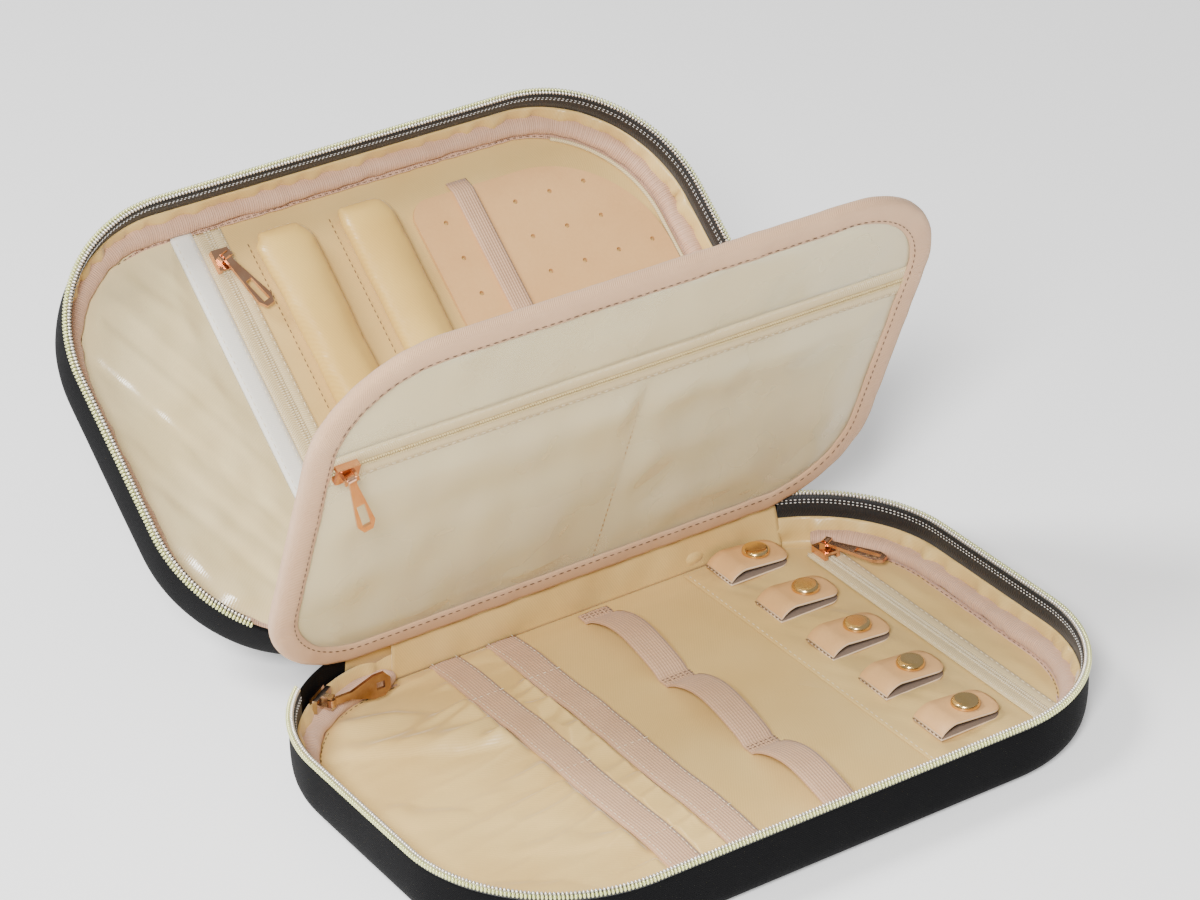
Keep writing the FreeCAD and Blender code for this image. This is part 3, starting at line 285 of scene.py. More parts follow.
def satin(name, light, dark, gloss, sheen=0.25, flat=True):
    finish = Finish(name, Sheen_Weight=sheen, Sheen_Roughness=0.35)
    along, across, _ = finish.surface() if flat else finish.apart(finish.solid())
    twill = (along + across * 0.6).wave(TWILL)
    drift = finish.noise(0.035, 2.0)
    slub = finish.noise(0.0012, 2.0)
    finish.colour(finish.blend(drift * 0.8 + twill * 0.12 + slub * 0.1, dark, light))
    finish.rough(slub * 0.16 + (gloss - 0.08))
    finish.relief(twill * 0.6 + slub, 0.00006, 0.55)
    return finish.material


SATIN = satin("satin", tone(230, 200, 134), tone(198, 160, 90), 0.36)
GLOSSY = satin("glossy_satin", tone(236, 219, 174), tone(208, 186, 132), 0.2, 0.05)
ROLL_SATIN = satin("ring_roll_satin", tone(234, 198, 116), tone(200, 156, 74), 0.32, 0.15, False)
STRIP_WHITE = satin("white_strip", tone(240, 238, 230), tone(226, 222, 210), 0.5)
PAGE_CLOTH = satin("page_cloth", tone(242, 222, 170), tone(226, 202, 144), 0.5)
print("satins in five makes")

# %% [markdown]
# Grosgrain has raised ribs across its length. The bound rolls show them as straight fine ribs, and on the
# page's binding, which is cut on the bias, they run slantwise. Elastic is knitted: long cords with short
# dashes between them.

# %% Ribbed tapes
RIB = 0.00085
BIAS_RIB, BIAS_SLANT = 0.00075, 0.8
ELASTIC_CORD, ELASTIC_DASH = 0.00105, 0.0013


def grosgrain(name, slant, rib, light, dark):
    finish = Finish(name, Sheen_Weight=0.2, Sheen_Roughness=0.5)
    along, across, _ = finish.surface()
    ribs = (along + across * slant).wave(rib)
    thread = (along - across * slant).wave(rib * 0.7)
    patch = finish.noise(0.012, 3.0)
    finish.colour(finish.blend(ribs * 0.4 + thread * 0.15 + patch * 0.45, dark, light))
    finish.rough(ribs * 0.12 + 0.58)
    finish.relief(ribs + thread * 0.4, 0.00022, 0.7)
    return finish.material


def knitted():
    finish = Finish("elastic", Sheen_Weight=0.15, Sheen_Roughness=0.5)
    along, across, _ = finish.surface()
    cords = across.wave(ELASTIC_CORD)
    dashes = along.wave(ELASTIC_DASH)
    patch = finish.noise(0.01, 2.0)
    finish.colour(finish.blend(cords * 0.35 + dashes * cords * 0.3 + patch * 0.35,
                               tone(178, 136, 102), tone(222, 184, 150)))
    finish.rough(cords * 0.15 + 0.55)
    finish.relief(cords + dashes * 0.5, 0.0002, 0.7)
    return finish.material


GROSGRAIN = grosgrain("grosgrain", 0.0, RIB, tone(226, 186, 156), tone(180, 136, 108))
BINDING = grosgrain("page_grosgrain", BIAS_SLANT, BIAS_RIB, tone(230, 189, 148), tone(196, 150, 112))
ELASTIC = knitted()
print("grosgrain, bias binding and elastic")

# %% [markdown]
# The zipper tapes are plain weaves: black herringbone on the rim and cream on the pockets.

# %% Zipper tapes


def tape_cloth(name, light, dark, thread, rough):
    """Herringbone: threads along the tape that sway from side to side across it."""
    finish = Finish(name, Sheen_Weight=0.08, Sheen_Roughness=0.5)
    along, across, _ = finish.surface()
    bone = (along + (across.wave(thread * 6) * (thread * 1.4))).wave(thread)
    finish.colour(finish.blend(bone, dark, light))
    finish.rough(bone * 0.1 + rough)
    finish.relief(bone, 0.00014, 0.6)
    return finish.material


BLACK_TAPE = tape_cloth("zipper_tape", tone(22, 22, 24), tone(6, 6, 7), 0.0009, 0.6)
CREAM_TAPE = tape_cloth("pocket_tape", tone(226, 208, 166), tone(198, 174, 124), 0.0008, 0.55)
print(BLACK_TAPE.name, CREAM_TAPE.name)

# %% [markdown]
# Metal needs little colour and the right roughness. Snap caps are brass and pocket sliders rose gold. The
# main slider is silver, with a copper-brown pull. The chain is silver inside, and has a lime tint outside.
# Fine wear lifts the roughness in patches, so that no highlight is perfectly clean.

# %% Metals
WARM_GLINT = tone(250, 226, 196)


def metal(name, colour, rough, wear=0.12, metallic=1.0):
    finish = Finish(name, Metallic=metallic)
    patch = finish.noise(0.004, 4.0)
    scuff = finish.noise(0.0006, 2.0)
    finish.colour(finish.blend(patch * 0.5, colour, WARM_GLINT))
    finish.rough(patch * wear + rough)
    finish.relief(scuff, 0.00002, 0.3)
    return finish.material


BRASS = metal("snap_brass", tone(232, 192, 112), 0.13)
ROSE_GOLD = metal("rose_gold", tone(226, 160, 118), 0.15)
SILVER = metal("silver_metal", tone(188, 176, 166), 0.12)
COPPER = metal("copper_brown", tone(142, 98, 72), 0.12)
CHAIN = metal("silver_teeth", tone(240, 241, 238), 0.24, 0.1, 0.75)
CHAIN_LIME = metal("silver_teeth_outer", tone(226, 236, 158), 0.26, 0.1, 0.65)
print("six metals")

# %% [markdown]
# Leather for the straps and the earring board is smooth and peach-tan. A fine pebble grain and a slow change
# of tone keep it from looking like plastic. Its cut edge is paler, and inside it is grey-brown suede.

# %% Leather


def leather(name, light, dark, grain, rough, depth):
    finish = Finish(name, Coat_Weight=0.05, Coat_Roughness=0.4)
    pebble = finish.node("TexVoronoi", None, {"Vector": finish.solid(), "Scale": 1 / grain})
    slow = finish.noise(0.02, 3.0)
    fine = finish.noise(grain * 2, 4.0)
    finish.colour(finish.blend(slow * 0.7 + fine * 0.3, dark, light))
    finish.rough(fine * 0.15 + rough)
    finish.relief(pebble * 0.5 + fine, depth, 0.5)
    return finish.material


LEATHER = leather("leather", tone(230, 184, 126), tone(206, 154, 96), 0.0006, 0.42, 0.00005)
RAW_EDGE = leather("leather_edge", tone(240, 219, 192), tone(220, 192, 160), 0.0004, 0.7, 0.0001)
SUEDE = leather("suede", tone(150, 128, 110), tone(98, 80, 68), 0.0005, 0.85, 0.0002)
print("leather, raw edge and suede")

# %% [markdown]
# The pocket of the page is clear vinyl with a milky tint. It is see-through, so the cream cloth behind it
# shows, and the film's own gloss gives the soft streaks of light. The coils are moulded, the threads spun
# and the stiffener and foam are raw, but all of them are one colour with a fine fleck.

# %% Film, coil and thread
FILM_HAZE = 0.03


def film():
    finish = Finish("clear_film", Alpha=0.34, Coat_Weight=0.6, Coat_Roughness=0.08)
    haze = finish.noise(FILM_HAZE, 2.0)
    finish.colour(finish.blend(haze, tone(226, 224, 198), tone(240, 230, 194)))
    finish.rough(haze * 0.15 + 0.2)
    finish.relief(finish.noise(FILM_HAZE, 2.0), 0.0006, 0.25)
    return finish.material


def moulded(name, light, dark, rough):
    finish = Finish(name)
    fleck = finish.noise(0.0008, 2.0)
    finish.colour(finish.blend(fleck, dark, light))
    finish.rough(fleck * 0.15 + rough)
    finish.relief(fleck, 0.00005, 0.4)
    return finish.material


FILM = film()
COIL = moulded("pocket_coil", tone(222, 204, 156), tone(186, 162, 108), 0.38)
PALE_COIL = moulded("tray_pocket_coil", tone(232, 220, 190), tone(200, 182, 142), 0.4)
STIFF = moulded("stiffener", tone(150, 146, 138), tone(120, 116, 108), 0.9)
FOAM = moulded("foam", tone(236, 233, 226), tone(214, 210, 200), 0.95)
WHITE_THREAD = moulded("white_thread", tone(240, 240, 238), tone(205, 205, 204), 0.6)
PALE_THREAD = moulded("pale_thread", tone(240, 230, 206), tone(214, 198, 164), 0.6)
TAN_THREAD = moulded("tan_thread", tone(172, 134, 88), tone(138, 102, 62), 0.65)
DARK_THREAD = moulded("dark_thread", tone(112, 88, 70), tone(72, 54, 42), 0.65)
print("film, coil and four threads")

# %% [markdown]
# Almost every piece is a surface through rows of points: a section carried along a line, or a cloth with
# folds. `surface` turns such rows into a mesh and measures its UV map along the cloth in metres, so that a
# rib or a thread has its real size everywhere. `line_of` gives the outline of the case at any distance
# inside its wall, cut open along the spine where the real piece is.

# %% Meshes from rows of points


def new_piece(name, points, faces, board, material, uvs):
    """A smooth mesh object from points in millimetres on one of the drawing boards."""
    mesh = bpy.data.meshes.new(name)
    mesh.from_pydata([tuple(board @ (Vector(point) * MM)) for point in points], [], faces)
    layer = mesh.uv_layers.new(name="Surface")
    layer.data.foreach_set("uv", np.array(uvs, np.float32).ravel())
    mesh.polygons.foreach_set("use_smooth", [True] * len(mesh.polygons))
    mesh.materials.append(material)
    mesh.update()
    made = bpy.data.objects.new(name, mesh)
    bpy.context.scene.collection.objects.link(made)
    return made


def surface(name, rows, board, material, ring=False, tube=False, capped=False):
    """A mesh through rows of points. A ring joins its last row to its first, a tube each row's ends."""
    rows = np.array(rows, float)
    count, width = rows.shape[:2]
    along = np.linalg.norm(np.diff(np.concatenate([rows, rows[:1]]), axis=0), axis=2).mean(1)
    across = np.linalg.norm(np.diff(np.concatenate([rows, rows[:, :1]], 1), axis=1), axis=2).mean(0)
    u = np.concatenate([[0], np.cumsum(along)]) * MM
    v = np.concatenate([[0], np.cumsum(across)]) * MM
    faces, uvs = [], []
    for i in range(count if ring else count - 1):
        for j in range(width if tube else width - 1):
            k, m = (i + 1) % count, (j + 1) % width
            faces.append((i * width + j, k * width + j, k * width + m, i * width + m))
            uvs += [(u[i], v[j]), (u[i + 1], v[j]), (u[i + 1], v[j + 1]), (u[i], v[j + 1])]
    if capped:
        for row, turn in ((0, 1), (count - 1, -1)):
            face = [row * width + j for j in range(width)][::turn]
            faces.append(tuple(face))
            uvs += [(u[row], v[index % width]) for index in face]
    return new_piece(name, rows.reshape(-1, 3), faces, board, material, uvs)


def outward(piece):
    """Turns a closed mesh's faces outwards."""
    work = bmesh.new()
    work.from_mesh(piece.data)
    bmesh.ops.recalc_face_normals(work, faces=work.faces)
    work.to_mesh(piece.data)
    work.free()
    return piece


MERGE_REACH = 0.00001


def joined(piece):
    """Merges points that lie on each other."""
    work = bmesh.new()
    work.from_mesh(piece.data)
    bmesh.ops.remove_doubles(work, verts=work.verts, dist=MERGE_REACH)
    work.to_mesh(piece.data)
    work.free()
    return piece


def thick(piece, thickness):
    """Gives a sheet its thickness in millimetres, half on each side."""
    solid = piece.modifiers.new("thickness", "SOLIDIFY")
    solid.thickness, solid.offset = thickness * MM, 0.0
    return piece


def smoothed(piece):
    """Rounds a piece by one step of subdivision."""
    rounder = piece.modifiers.new("smooth", "SUBSURF")
    rounder.levels = rounder.render_levels = 1
    return piece


def wear(piece, body, slot, *nodes):
    """Rides a finished piece on its body and hides the nodes that it stands for. The slot is not used."""
    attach(piece, body)
    if nodes:
        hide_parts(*nodes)
    return piece


SMALLEST_RADIUS = 0.8
CORNER_TURN = 3
FINE_STEP = 0.5
LOOK_AHEAD = 0.6


def evenly(places, lengths, points):
    """Points at the given lengths along a line."""
    return np.stack([np.interp(places, lengths, points[:, axis]) for axis in (0, 1)], 1)


def running_length(points):
    """The length of a line up to each of its points."""
    return np.concatenate([[0], np.cumsum(np.linalg.norm(np.diff(points, axis=0), axis=1))])


def left_of(way):
    """The unit direction to the left of each direction, which is outwards on a clockwise line."""
    way /= np.linalg.norm(way, axis=1)[:, None]
    return np.stack([-way[:, 1], way[:, 0]], 1)


def line_of(inset, spine, gap=None, step=2.0):
    """Places and outward directions along the outline at an inset, one every step, clockwise."""
    length, depth = SIDE - inset, BACK - inset
    radius = max(CORNER - inset, SMALLEST_RADIUS)
    straight_x, straight_y = length - radius, depth - radius
    fine = []
    for (x, y), start in (((straight_x, straight_y), 90), ((straight_x, -straight_y), 0),
                          ((-straight_x, -straight_y), -90), ((-straight_x, straight_y), 180)):
        for turn in range(0, 91, CORNER_TURN):
            angle = math.radians(start - turn)
            fine.append((x + radius * math.cos(angle), y + radius * math.sin(angle)))
    fine = [(0.0, depth), *fine, (0.0, depth)]
    dense = []
    for (ax, ay), (bx, by) in zip(fine[:-1], fine[1:]):
        parts = max(1, int(math.hypot(bx - ax, by - ay) / FINE_STEP))
        dense += [(ax + (bx - ax) * part / parts, ay + (by - ay) * part / parts) for part in range(parts)]
    dense = np.array(dense)
    if gap:
        dense = dense[~((dense[:, 1] > 0) & (dense[:, 0] > gap[0]) & (dense[:, 0] < gap[1]))]
    else:
        dense = np.concatenate([dense, dense[:1]])
    lengths = running_length(dense)
    count = max(3, int(round(lengths[-1] / step)))
    places = np.linspace(0, lengths[-1], count + 1)
    if not gap:
        places = places[:-1]
    line = evenly(places, lengths, dense)
    ahead = evenly(np.minimum(places + LOOK_AHEAD, lengths[-1]), lengths, dense)
    behind = evenly(np.maximum(places - LOOK_AHEAD, 0), lengths, dense)
    out = left_of(ahead - behind)
    if spine < 0:
        line, out = line * (1, -1), out * (1, -1)
    return line, out, places


def ripple(x, y, z=0.0, size=20.0):
    """Smooth noise from about -1 to 1 with bumps about size millimetres apart."""
    return noise.noise(Vector((x / size, y / size, z / size)))


print("outline of", round(float(line_of(0, 1)[2][-1])), "mm round the rim")

# %% [markdown]
# Geometry Nodes carries whatever repeats along a line: a stitch, a tooth, a turn of a coil. The tree takes
# the line as a mesh of edges, walks it at an even spacing, sets one small shape at each step and turns it
# along the line. The same tree serves the zipper chain and every seam.

# %% One tree for everything that repeats along a line


def repeat_tree():
    tree = bpy.data.node_groups.new("repeat_along_line", "GeometryNodeTree")
    for name, kind in (("Line", "Geometry"), ("Spacing", "Float"), ("Size", "Vector"), ("Segments", "Int"),
                       ("Rings", "Int"), ("Unevenness", "Float"), ("Material", "Material")):
        tree.interface.new_socket(name, in_out="INPUT", socket_type="NodeSocket" + kind)
    tree.interface.new_socket("Made", in_out="OUTPUT", socket_type="NodeSocketGeometry")
    nodes, links = tree.nodes, tree.links

    def add(kind, **settings):
        made = nodes.new(kind)
        for key, value in settings.items():
            setattr(made, key, value)
        return made

    given, result = add("NodeGroupInput"), add("NodeGroupOutput")
    to_curve = add("GeometryNodeMeshToCurve")
    walk = add("GeometryNodeCurveToPoints", mode="LENGTH")
    bead = add("GeometryNodeMeshUVSphere")
    bead.inputs["Radius"].default_value = 0.5
    shape = add("GeometryNodeSetShadeSmooth")
    sized = add("GeometryNodeTransform")
    uneven = add("FunctionNodeRandomValue", data_type="FLOAT")
    uneven.inputs["Seed"].default_value = 7
    low = add("ShaderNodeMath", operation="SUBTRACT")
    low.inputs[0].default_value = 1.0
    stamp = add("GeometryNodeInstanceOnPoints")
    real = add("GeometryNodeRealizeInstances")
    paint = add("GeometryNodeSetMaterial")
    links.new(given.outputs["Line"], to_curve.inputs["Mesh"])
    links.new(to_curve.outputs["Curve"], walk.inputs["Curve"])
    links.new(given.outputs["Spacing"], walk.inputs["Length"])
    links.new(given.outputs["Segments"], bead.inputs["Segments"])
    links.new(given.outputs["Rings"], bead.inputs["Rings"])
    links.new(bead.outputs["Mesh"], sized.inputs["Geometry"])
    links.new(given.outputs["Size"], sized.inputs["Scale"])
    links.new(sized.outputs["Geometry"], shape.inputs["Geometry"])
    links.new(given.outputs["Unevenness"], low.inputs[1])
    links.new(low.outputs[0], uneven.inputs[2])
    uneven.inputs[3].default_value = 1.0
    links.new(walk.outputs["Points"], stamp.inputs["Points"])
    links.new(shape.outputs["Geometry"], stamp.inputs["Instance"])
    links.new(walk.outputs["Rotation"], stamp.inputs["Rotation"])
    links.new(uneven.outputs[1], stamp.inputs["Scale"])
    links.new(stamp.outputs["Instances"], real.inputs["Geometry"])
    links.new(real.outputs["Geometry"], paint.inputs["Geometry"])
    links.new(given.outputs["Material"], paint.inputs["Material"])
    links.new(paint.outputs["Geometry"], result.inputs["Made"])
    return tree


REPEAT = repeat_tree()
SOCKETS = {item.name: item.identifier for item in REPEAT.interface.items_tree
           if item.in_out == "INPUT"}


def along_line(name, lines, board, spacing, size, material, uneven=0.1, segments=6, rings=4):
    """Beads of size (across the line, up, along), in millimetres, at every spacing along the lines.

    Each bead is smaller than that by a random share of up to uneven.
    """
    points, edges = [], []
    for line in lines:
        first = len(points)
        points += [tuple(board @ Vector([float(part) * MM for part in place])) for place in line]
        edges += [(first + index, first + index + 1) for index in range(len(line) - 1)]
    mesh = bpy.data.meshes.new(name)
    mesh.from_pydata(points, edges, [])
    holder = bpy.data.objects.new(name + "_line", mesh)
    bpy.context.scene.collection.objects.link(holder)
    walk = holder.modifiers.new("repeat", "NODES")
    walk.node_group = REPEAT
    for key, value in (("Spacing", spacing * MM), ("Size", [part * MM for part in size]),
                       ("Segments", segments), ("Rings", rings), ("Unevenness", uneven),
                       ("Material", material)):
        walk[SOCKETS[key]] = value
    graph = bpy.context.evaluated_depsgraph_get()
    result = bpy.data.meshes.new_from_object(holder.evaluated_get(graph))
    result.name = name
    bpy.data.objects.remove(holder)
    made = bpy.data.objects.new(name, result)
    bpy.context.scene.collection.objects.link(made)
    print(name, len(result.polygons), "faces")
    return made


print("tree of", len(REPEAT.nodes), "nodes")

# %% [markdown]
# ## The outer shell
#
# Each half's outside is one padded cloth tub: a flat base, a soft edge and a wall that bellies out a hair
# between base and rim. It is a section of (inset, height) carried round the outline, with slow hollows
# where the padding gives. The base is closed by a flat face, because the case stands on it.

# %% Outer shells
PADDING_GIVE = 0.35
SHELL_INSIDE = 1.7
SHELL_SECTION = [(30.0, 0.0), (12.0, 0.0), (7.0, 0.15), (4.2, 0.9), (2.0, 2.6), (0.7, 5.2), (0.25, 8.5),
                 (0.1, 12.5), (0.2, 16.5), (0.45, 19.5), (0.55, 20.9), (0.9, 21.3), (1.5, 21.4),
                 (1.75, 21.1), (1.8, 18.0), (1.8, 3.6), (3.2, 2.2), (8.0, 1.8), (30.0, 1.8)]


def outer_shell(label, board, spine):
    line, out, _ = line_of(0, spine, step=2.5)
    rows = []
    for (x, y), (ox, oy) in zip(line, out):
        row = []
        for inset, height in SHELL_SECTION:
            outside = inset < SHELL_INSIDE
            give = PADDING_GIVE * math.sin(math.pi * min(1, height / WALL_TOP)) if outside else 0
            soft = give * (ripple(x, y, height + 40 * spine, 34) + 0.4 * ripple(x, y, height, 11))
            place = inset + abs(soft)
            row.append((x - ox * place, y - oy * place, height))
        rows.append(row)
    shell = surface(f"{label}_outer_shell_cloth", rows, board, BLACK, ring=True)
    work = bmesh.new()
    work.from_mesh(shell.data)
    bmesh.ops.holes_fill(work, edges=[edge for edge in work.edges if edge.is_boundary])
    bmesh.ops.triangulate(work, faces=[face for face in work.faces if len(face.verts) > 4])
    bmesh.ops.recalc_face_normals(work, faces=work.faces)
    work.to_mesh(shell.data)
    work.free()
    return wear(smoothed(shell), label, "outer_fabric", f"{label}_outer_shell")


for label, board, spine in HALVES:
    shell = outer_shell(label, board, spine)
    print(shell.name, len(shell.data.polygons), "faces")

# %% [markdown]
# ## The zipper round the rim
#
# The zipper's black tape stands on the inside of the wall, with its woven edge up and two rows of white
# stitches just under the chain. The chain is two strands of metal-coated coil: a silver strand on the
# inside and a strand with a lime tint on the outside, on a dark cord that joins them. All of it stops short
# of the spine. The sections are pairs of (inset or shift, height).

# %% Rim zippers
TAPE_TOP, TAPE_FOOT = span("tray_zipper_tape")[1][2], span("tray_zipper_tape")[0][2]
TEETH_LEFT, TEETH_RIGHT = -SIDE + 18, SIDE - 35.4
TOOTH_PITCH = 1.25
TAPE_INSET = 2.2
CHAIN_INNER = {"inset": 1.5, "height": 23.0, "tooth": (1.5, 2.0, 1.06)}
CHAIN_OUTER = {"inset": 0.25, "height": 22.8, "tooth": (1.6, 2.2, 1.06)}
SEAM_INSET, SEAM_HEIGHTS, SEAM_PITCH = 2.75, (21.3, 20.2), 1.55
TAPE_SECTION = [(0.35, TAPE_FOOT), (0.35, 17.0), (0.2, 20.0), (0.15, 22.2), (0.0, TAPE_TOP + 0.1),
                (-0.3, TAPE_TOP), (-0.35, 21.0), (-0.4, 18.0), (-0.5, TAPE_FOOT)]
CHAIN_SECTION = [(0.3, 21.3), (0.2, 22.4), (0.7, 22.9), (1.4, 22.9), (1.75, 22.4), (1.7, 21.3)]


def rim_line(inset, height, spine):
    line, _, _ = line_of(inset, spine, gap=(TEETH_LEFT, TEETH_RIGHT), step=1.0)
    return [(x, y, height) for x, y in line]


def zipper_tape(label, board, spine):
    line, out, _ = line_of(TAPE_INSET, spine, gap=(TEETH_LEFT, TEETH_RIGHT), step=2.0)
    rows = []
    for (x, y), (ox, oy) in zip(line, out):
        lean = 0.15 * ripple(x, y, 9 * spine, 18)
        shifts = [(shift + lean * (shift < 0), height) for shift, height in TAPE_SECTION]
        rows.append([(x + ox * shift, y + oy * shift, height) for shift, height in shifts])
    tape = outward(surface(f"{label}_zipper_tape_cloth", rows, board, BLACK_TAPE, tube=True, capped=True))
    return wear(tape, label, "zipper_tape", f"{label}_zipper_tape")


def strand(name, body, board, spine, place, material, *nodes):
    """One strand of teeth round the rim."""
    line = rim_line(place["inset"], place["height"], spine)
    teeth = along_line(name, [line], board, TOOTH_PITCH, place["tooth"], material, 0.04, 8, 5)
    wear(teeth, body, "silver_teeth", *nodes)


def chain(label, board, spine):
    line, out, _ = line_of(0, spine, gap=(TEETH_LEFT, TEETH_RIGHT), step=1.5)
    rows = [[(x - ox * inset, y - oy * inset, height) for inset, height in CHAIN_SECTION]
            for (x, y), (ox, oy) in zip(line, out)]
    cord = outward(surface(f"{label}_chain_cord", rows, board, BLACK_TAPE, tube=True, capped=True))
    wear(cord, label, "zipper_tape")
    strand(f"{label}_zipper_chain_inner", label, board, spine, CHAIN_INNER, CHAIN, f"{label}_zipper_teeth")
    strand(f"{label}_zipper_chain_outer", label, board, spine, CHAIN_OUTER, CHAIN_LIME)
    lines = [rim_line(SEAM_INSET, height, spine) for height in SEAM_HEIGHTS]
    seams = along_line(f"{label}_rim_stitches", lines, board, SEAM_PITCH, (0.3, 0.5, 0.95), WHITE_THREAD,
                       0.15)
    wear(seams, label, "zipper_tape")


for label, board, spine in HALVES:
    zipper_tape(label, board, spine)
    chain(label, board, spine)

# %% [markdown]
# ## The lining
#
# The satin lining hangs from the tape, puckers where the bound roll gathers it, and lies over the foam of
# the base with shallow waves. One grid does all three: its rows run from the tape down the wall and then
# inwards over the floor, and a pucker is a ripple along the wall that fades at both ends. The last row
# lies on the middle line, where the points of both sides meet and are merged.

# %% Linings
LINING_ROWS = [(2.75, 14.6), (2.95, 13.6), (3.2, 12.0), (3.3, 10.4), (3.2, 8.8), (3.1, 7.2), (3.2, 5.8),
               (3.9, 4.9), (5.5, 4.55), (9.0, 4.5), (14.0, 4.6), (20.0, 4.68), (27.0, 4.7), (35.0, 4.7),
               (44.0, 4.7), (53.0, 4.7), (62.0, 4.7), (71.0, 4.7), (79.0, 4.7), (BACK, 4.7)]
LINING_TOP = 14.6
PUCKER_LENGTH, PUCKER_DEPTH = 9.0, 3.4
WALL_FOOT = 5.2


def pucker(x, y, height, spine):
    """How far the lining leans in from the wall, in millimetres."""
    share = max(0.0, min(1.0, (LINING_TOP - height) / PUCKER_LENGTH))
    fold = (ripple(x, y, 30 * spine, 9.0) + 0.5 * ripple(x, y, 11 * spine, 4.2)) * math.sin(math.pi * share)
    return PUCKER_DEPTH * abs(fold) + 0.5 * share


def lining(label, board, spine):
    line, out, _ = line_of(0, spine, step=1.6)
    rows = [[] for _ in line]
    for inset, height in LINING_ROWS:
        for index, ((x0, y0), (ox, oy)) in enumerate(zip(line, out)):
            radius = max(CORNER - inset, 0.0)
            x = math.copysign(min(abs(x0), SIDE - CORNER), x0)
            y = math.copysign(min(abs(y0), BACK - CORNER), y0)
            length, depth = SIDE - inset - radius, BACK - inset - radius
            cx = x * length / (SIDE - CORNER)
            cy = y * depth / (BACK - CORNER)
            gx, gy = cx + ox * radius, cy + oy * radius
            if inset == BACK:
                gx = 2 * round(gx / 2)
            if height > WALL_FOOT:
                lean = pucker(x0, y0, height, spine)
                gx, gy = gx - ox * lean, gy - oy * lean
                wave = 0.0
            else:
                wave = 0.16 * ripple(gx, gy, 5 * spine, 26)
            rows[index].append((gx, gy, height + wave))
    cloth = thick(surface(f"{label}_lining_cloth", rows, board, SATIN, ring=True), 0.35)
    wear(cloth, label, "satin", f"{label}_lining")
    joined(cloth)
    return cloth


def foam_pad(label, board, spine):
    """The foam under the lining, a flat pad with rounded edges."""
    low, high = 3.02, 4.2
    rows = []
    for inset, height in ((9.0, low), (7.2, low + 0.3), (7.0, 3.6), (7.3, high - 0.2), (9.0, high)):
        line, _, _ = line_of(inset, spine, step=4.0)
        rows.append([(x, y, height) for x, y in line])
    width = min(len(row) for row in rows)
    even = []
    for row in rows:
        places = np.linspace(0, len(row) - 1, width).astype(int)
        even.append([row[place] for place in places])
    pad = surface(f"{label}_floor_pad_foam", even, board, FOAM, tube=True, capped=True)
    wear(outward(pad), label, "foam", f"{label}_floor_pad")


for label, board, spine in HALVES:
    foam_pad(label, board, spine)
    cloth = lining(label, board, spine)
    print(cloth.name, len(cloth.data.polygons), "faces")

# %% [markdown]
# ## Bound rolls
#
# A thick roll, bound in grosgrain, runs along the foot of each wall and hides the lining's seam. It is a
# tube whose thickness swells and shrinks where the cloth is gathered, so its size follows smooth noise,
# with deeper dents every centimetre or two. The binding's turned edge shows as a narrow lip below it.

# %% Rolls along the foot of the wall
ROLL_INSET, ROLL_HEIGHT, ROLL_RADIUS = 5.9, 7.9, 3.1
ROLL_LEFT, ROLL_RIGHT = -SIDE + 59, SIDE - 27
ROLL_SIDES = 14
ROLL_FLATTENING = 1.22
HEM_SEAM_INSET, HEM_SEAM_HEIGHT = ROLL_INSET + 4.0, 5.75


def bound_roll(label, board, spine):
    line, out, places = line_of(ROLL_INSET, spine, gap=(ROLL_LEFT, ROLL_RIGHT), step=0.9)
    rows, lip = [], []
    for (x, y), (ox, oy), place in zip(line, out, places):
        end = min(1.0, 0.55 + min(place, places[-1] - place) / 6)
        dent = max(0.0, ripple(place, 3 * spine, size=11)) ** 2
        swell = end * (1 + 0.1 * ripple(place, 9 * spine, size=6) - 0.3 * dent)
        sway = 0.7 * ripple(place, 20 * spine, size=23)
        row = []
        for index in range(ROLL_SIDES):
            angle = 2 * math.pi * index / ROLL_SIDES
            crease = 1 + 0.06 * math.sin(3 * angle + 5 * ripple(place, 31, size=9))
            across = ROLL_FLATTENING * ROLL_RADIUS * swell * crease * math.cos(angle)
            up = ROLL_RADIUS * swell * crease * math.sin(angle)
            row.append((x + ox * (across + sway), y + oy * (across + sway), ROLL_HEIGHT - 0.2 + up))
        rows.append(row)
        edge = 0.35 * ripple(place, 44 * spine, size=5)
        lip.append([(x - ox * shift, y - oy * shift, height) for shift, height in
                    ((2.4, 5.6), (3.4 + edge, 5.15), (4.5 + edge, 5.35 + 0.3 * edge))])
    roll = outward(surface(f"{label}_bound_roll_cloth", rows, board, GROSGRAIN, tube=True, capped=True))
    wear(roll, label, "grosgrain", f"{label}_bound_roll")
    hem = thick(surface(f"{label}_roll_hem", lip, board, GROSGRAIN), 0.5)
    wear(hem, label, "grosgrain")
    line, _, _ = line_of(HEM_SEAM_INSET, spine, gap=(ROLL_LEFT, ROLL_RIGHT), step=1.5)
    seam = [(x, y, HEM_SEAM_HEIGHT) for x, y in line]
    stitches = along_line(f"{label}_roll_stitches", [seam], board, 2.6, (0.35, 0.35, 1.7), DARK_THREAD)
    wear(stitches, label, "grosgrain")


for label, board, spine in HALVES:
    bound_roll(label, board, spine)

# %% [markdown]
# ## The tray's gathered pockets
#
# Two cloth pockets lie side by side on the left. Each is cut wider than its elastic mouth, so the cloth
# gathers into ridges that start at the elastic and fade away from it. Two ridged noises, which vary quickly
# along the mouth and slowly across it, give the gathers, and two broad ones the large folds. Near the
# elastic the cloth is held down, so that it tucks in under the tape.

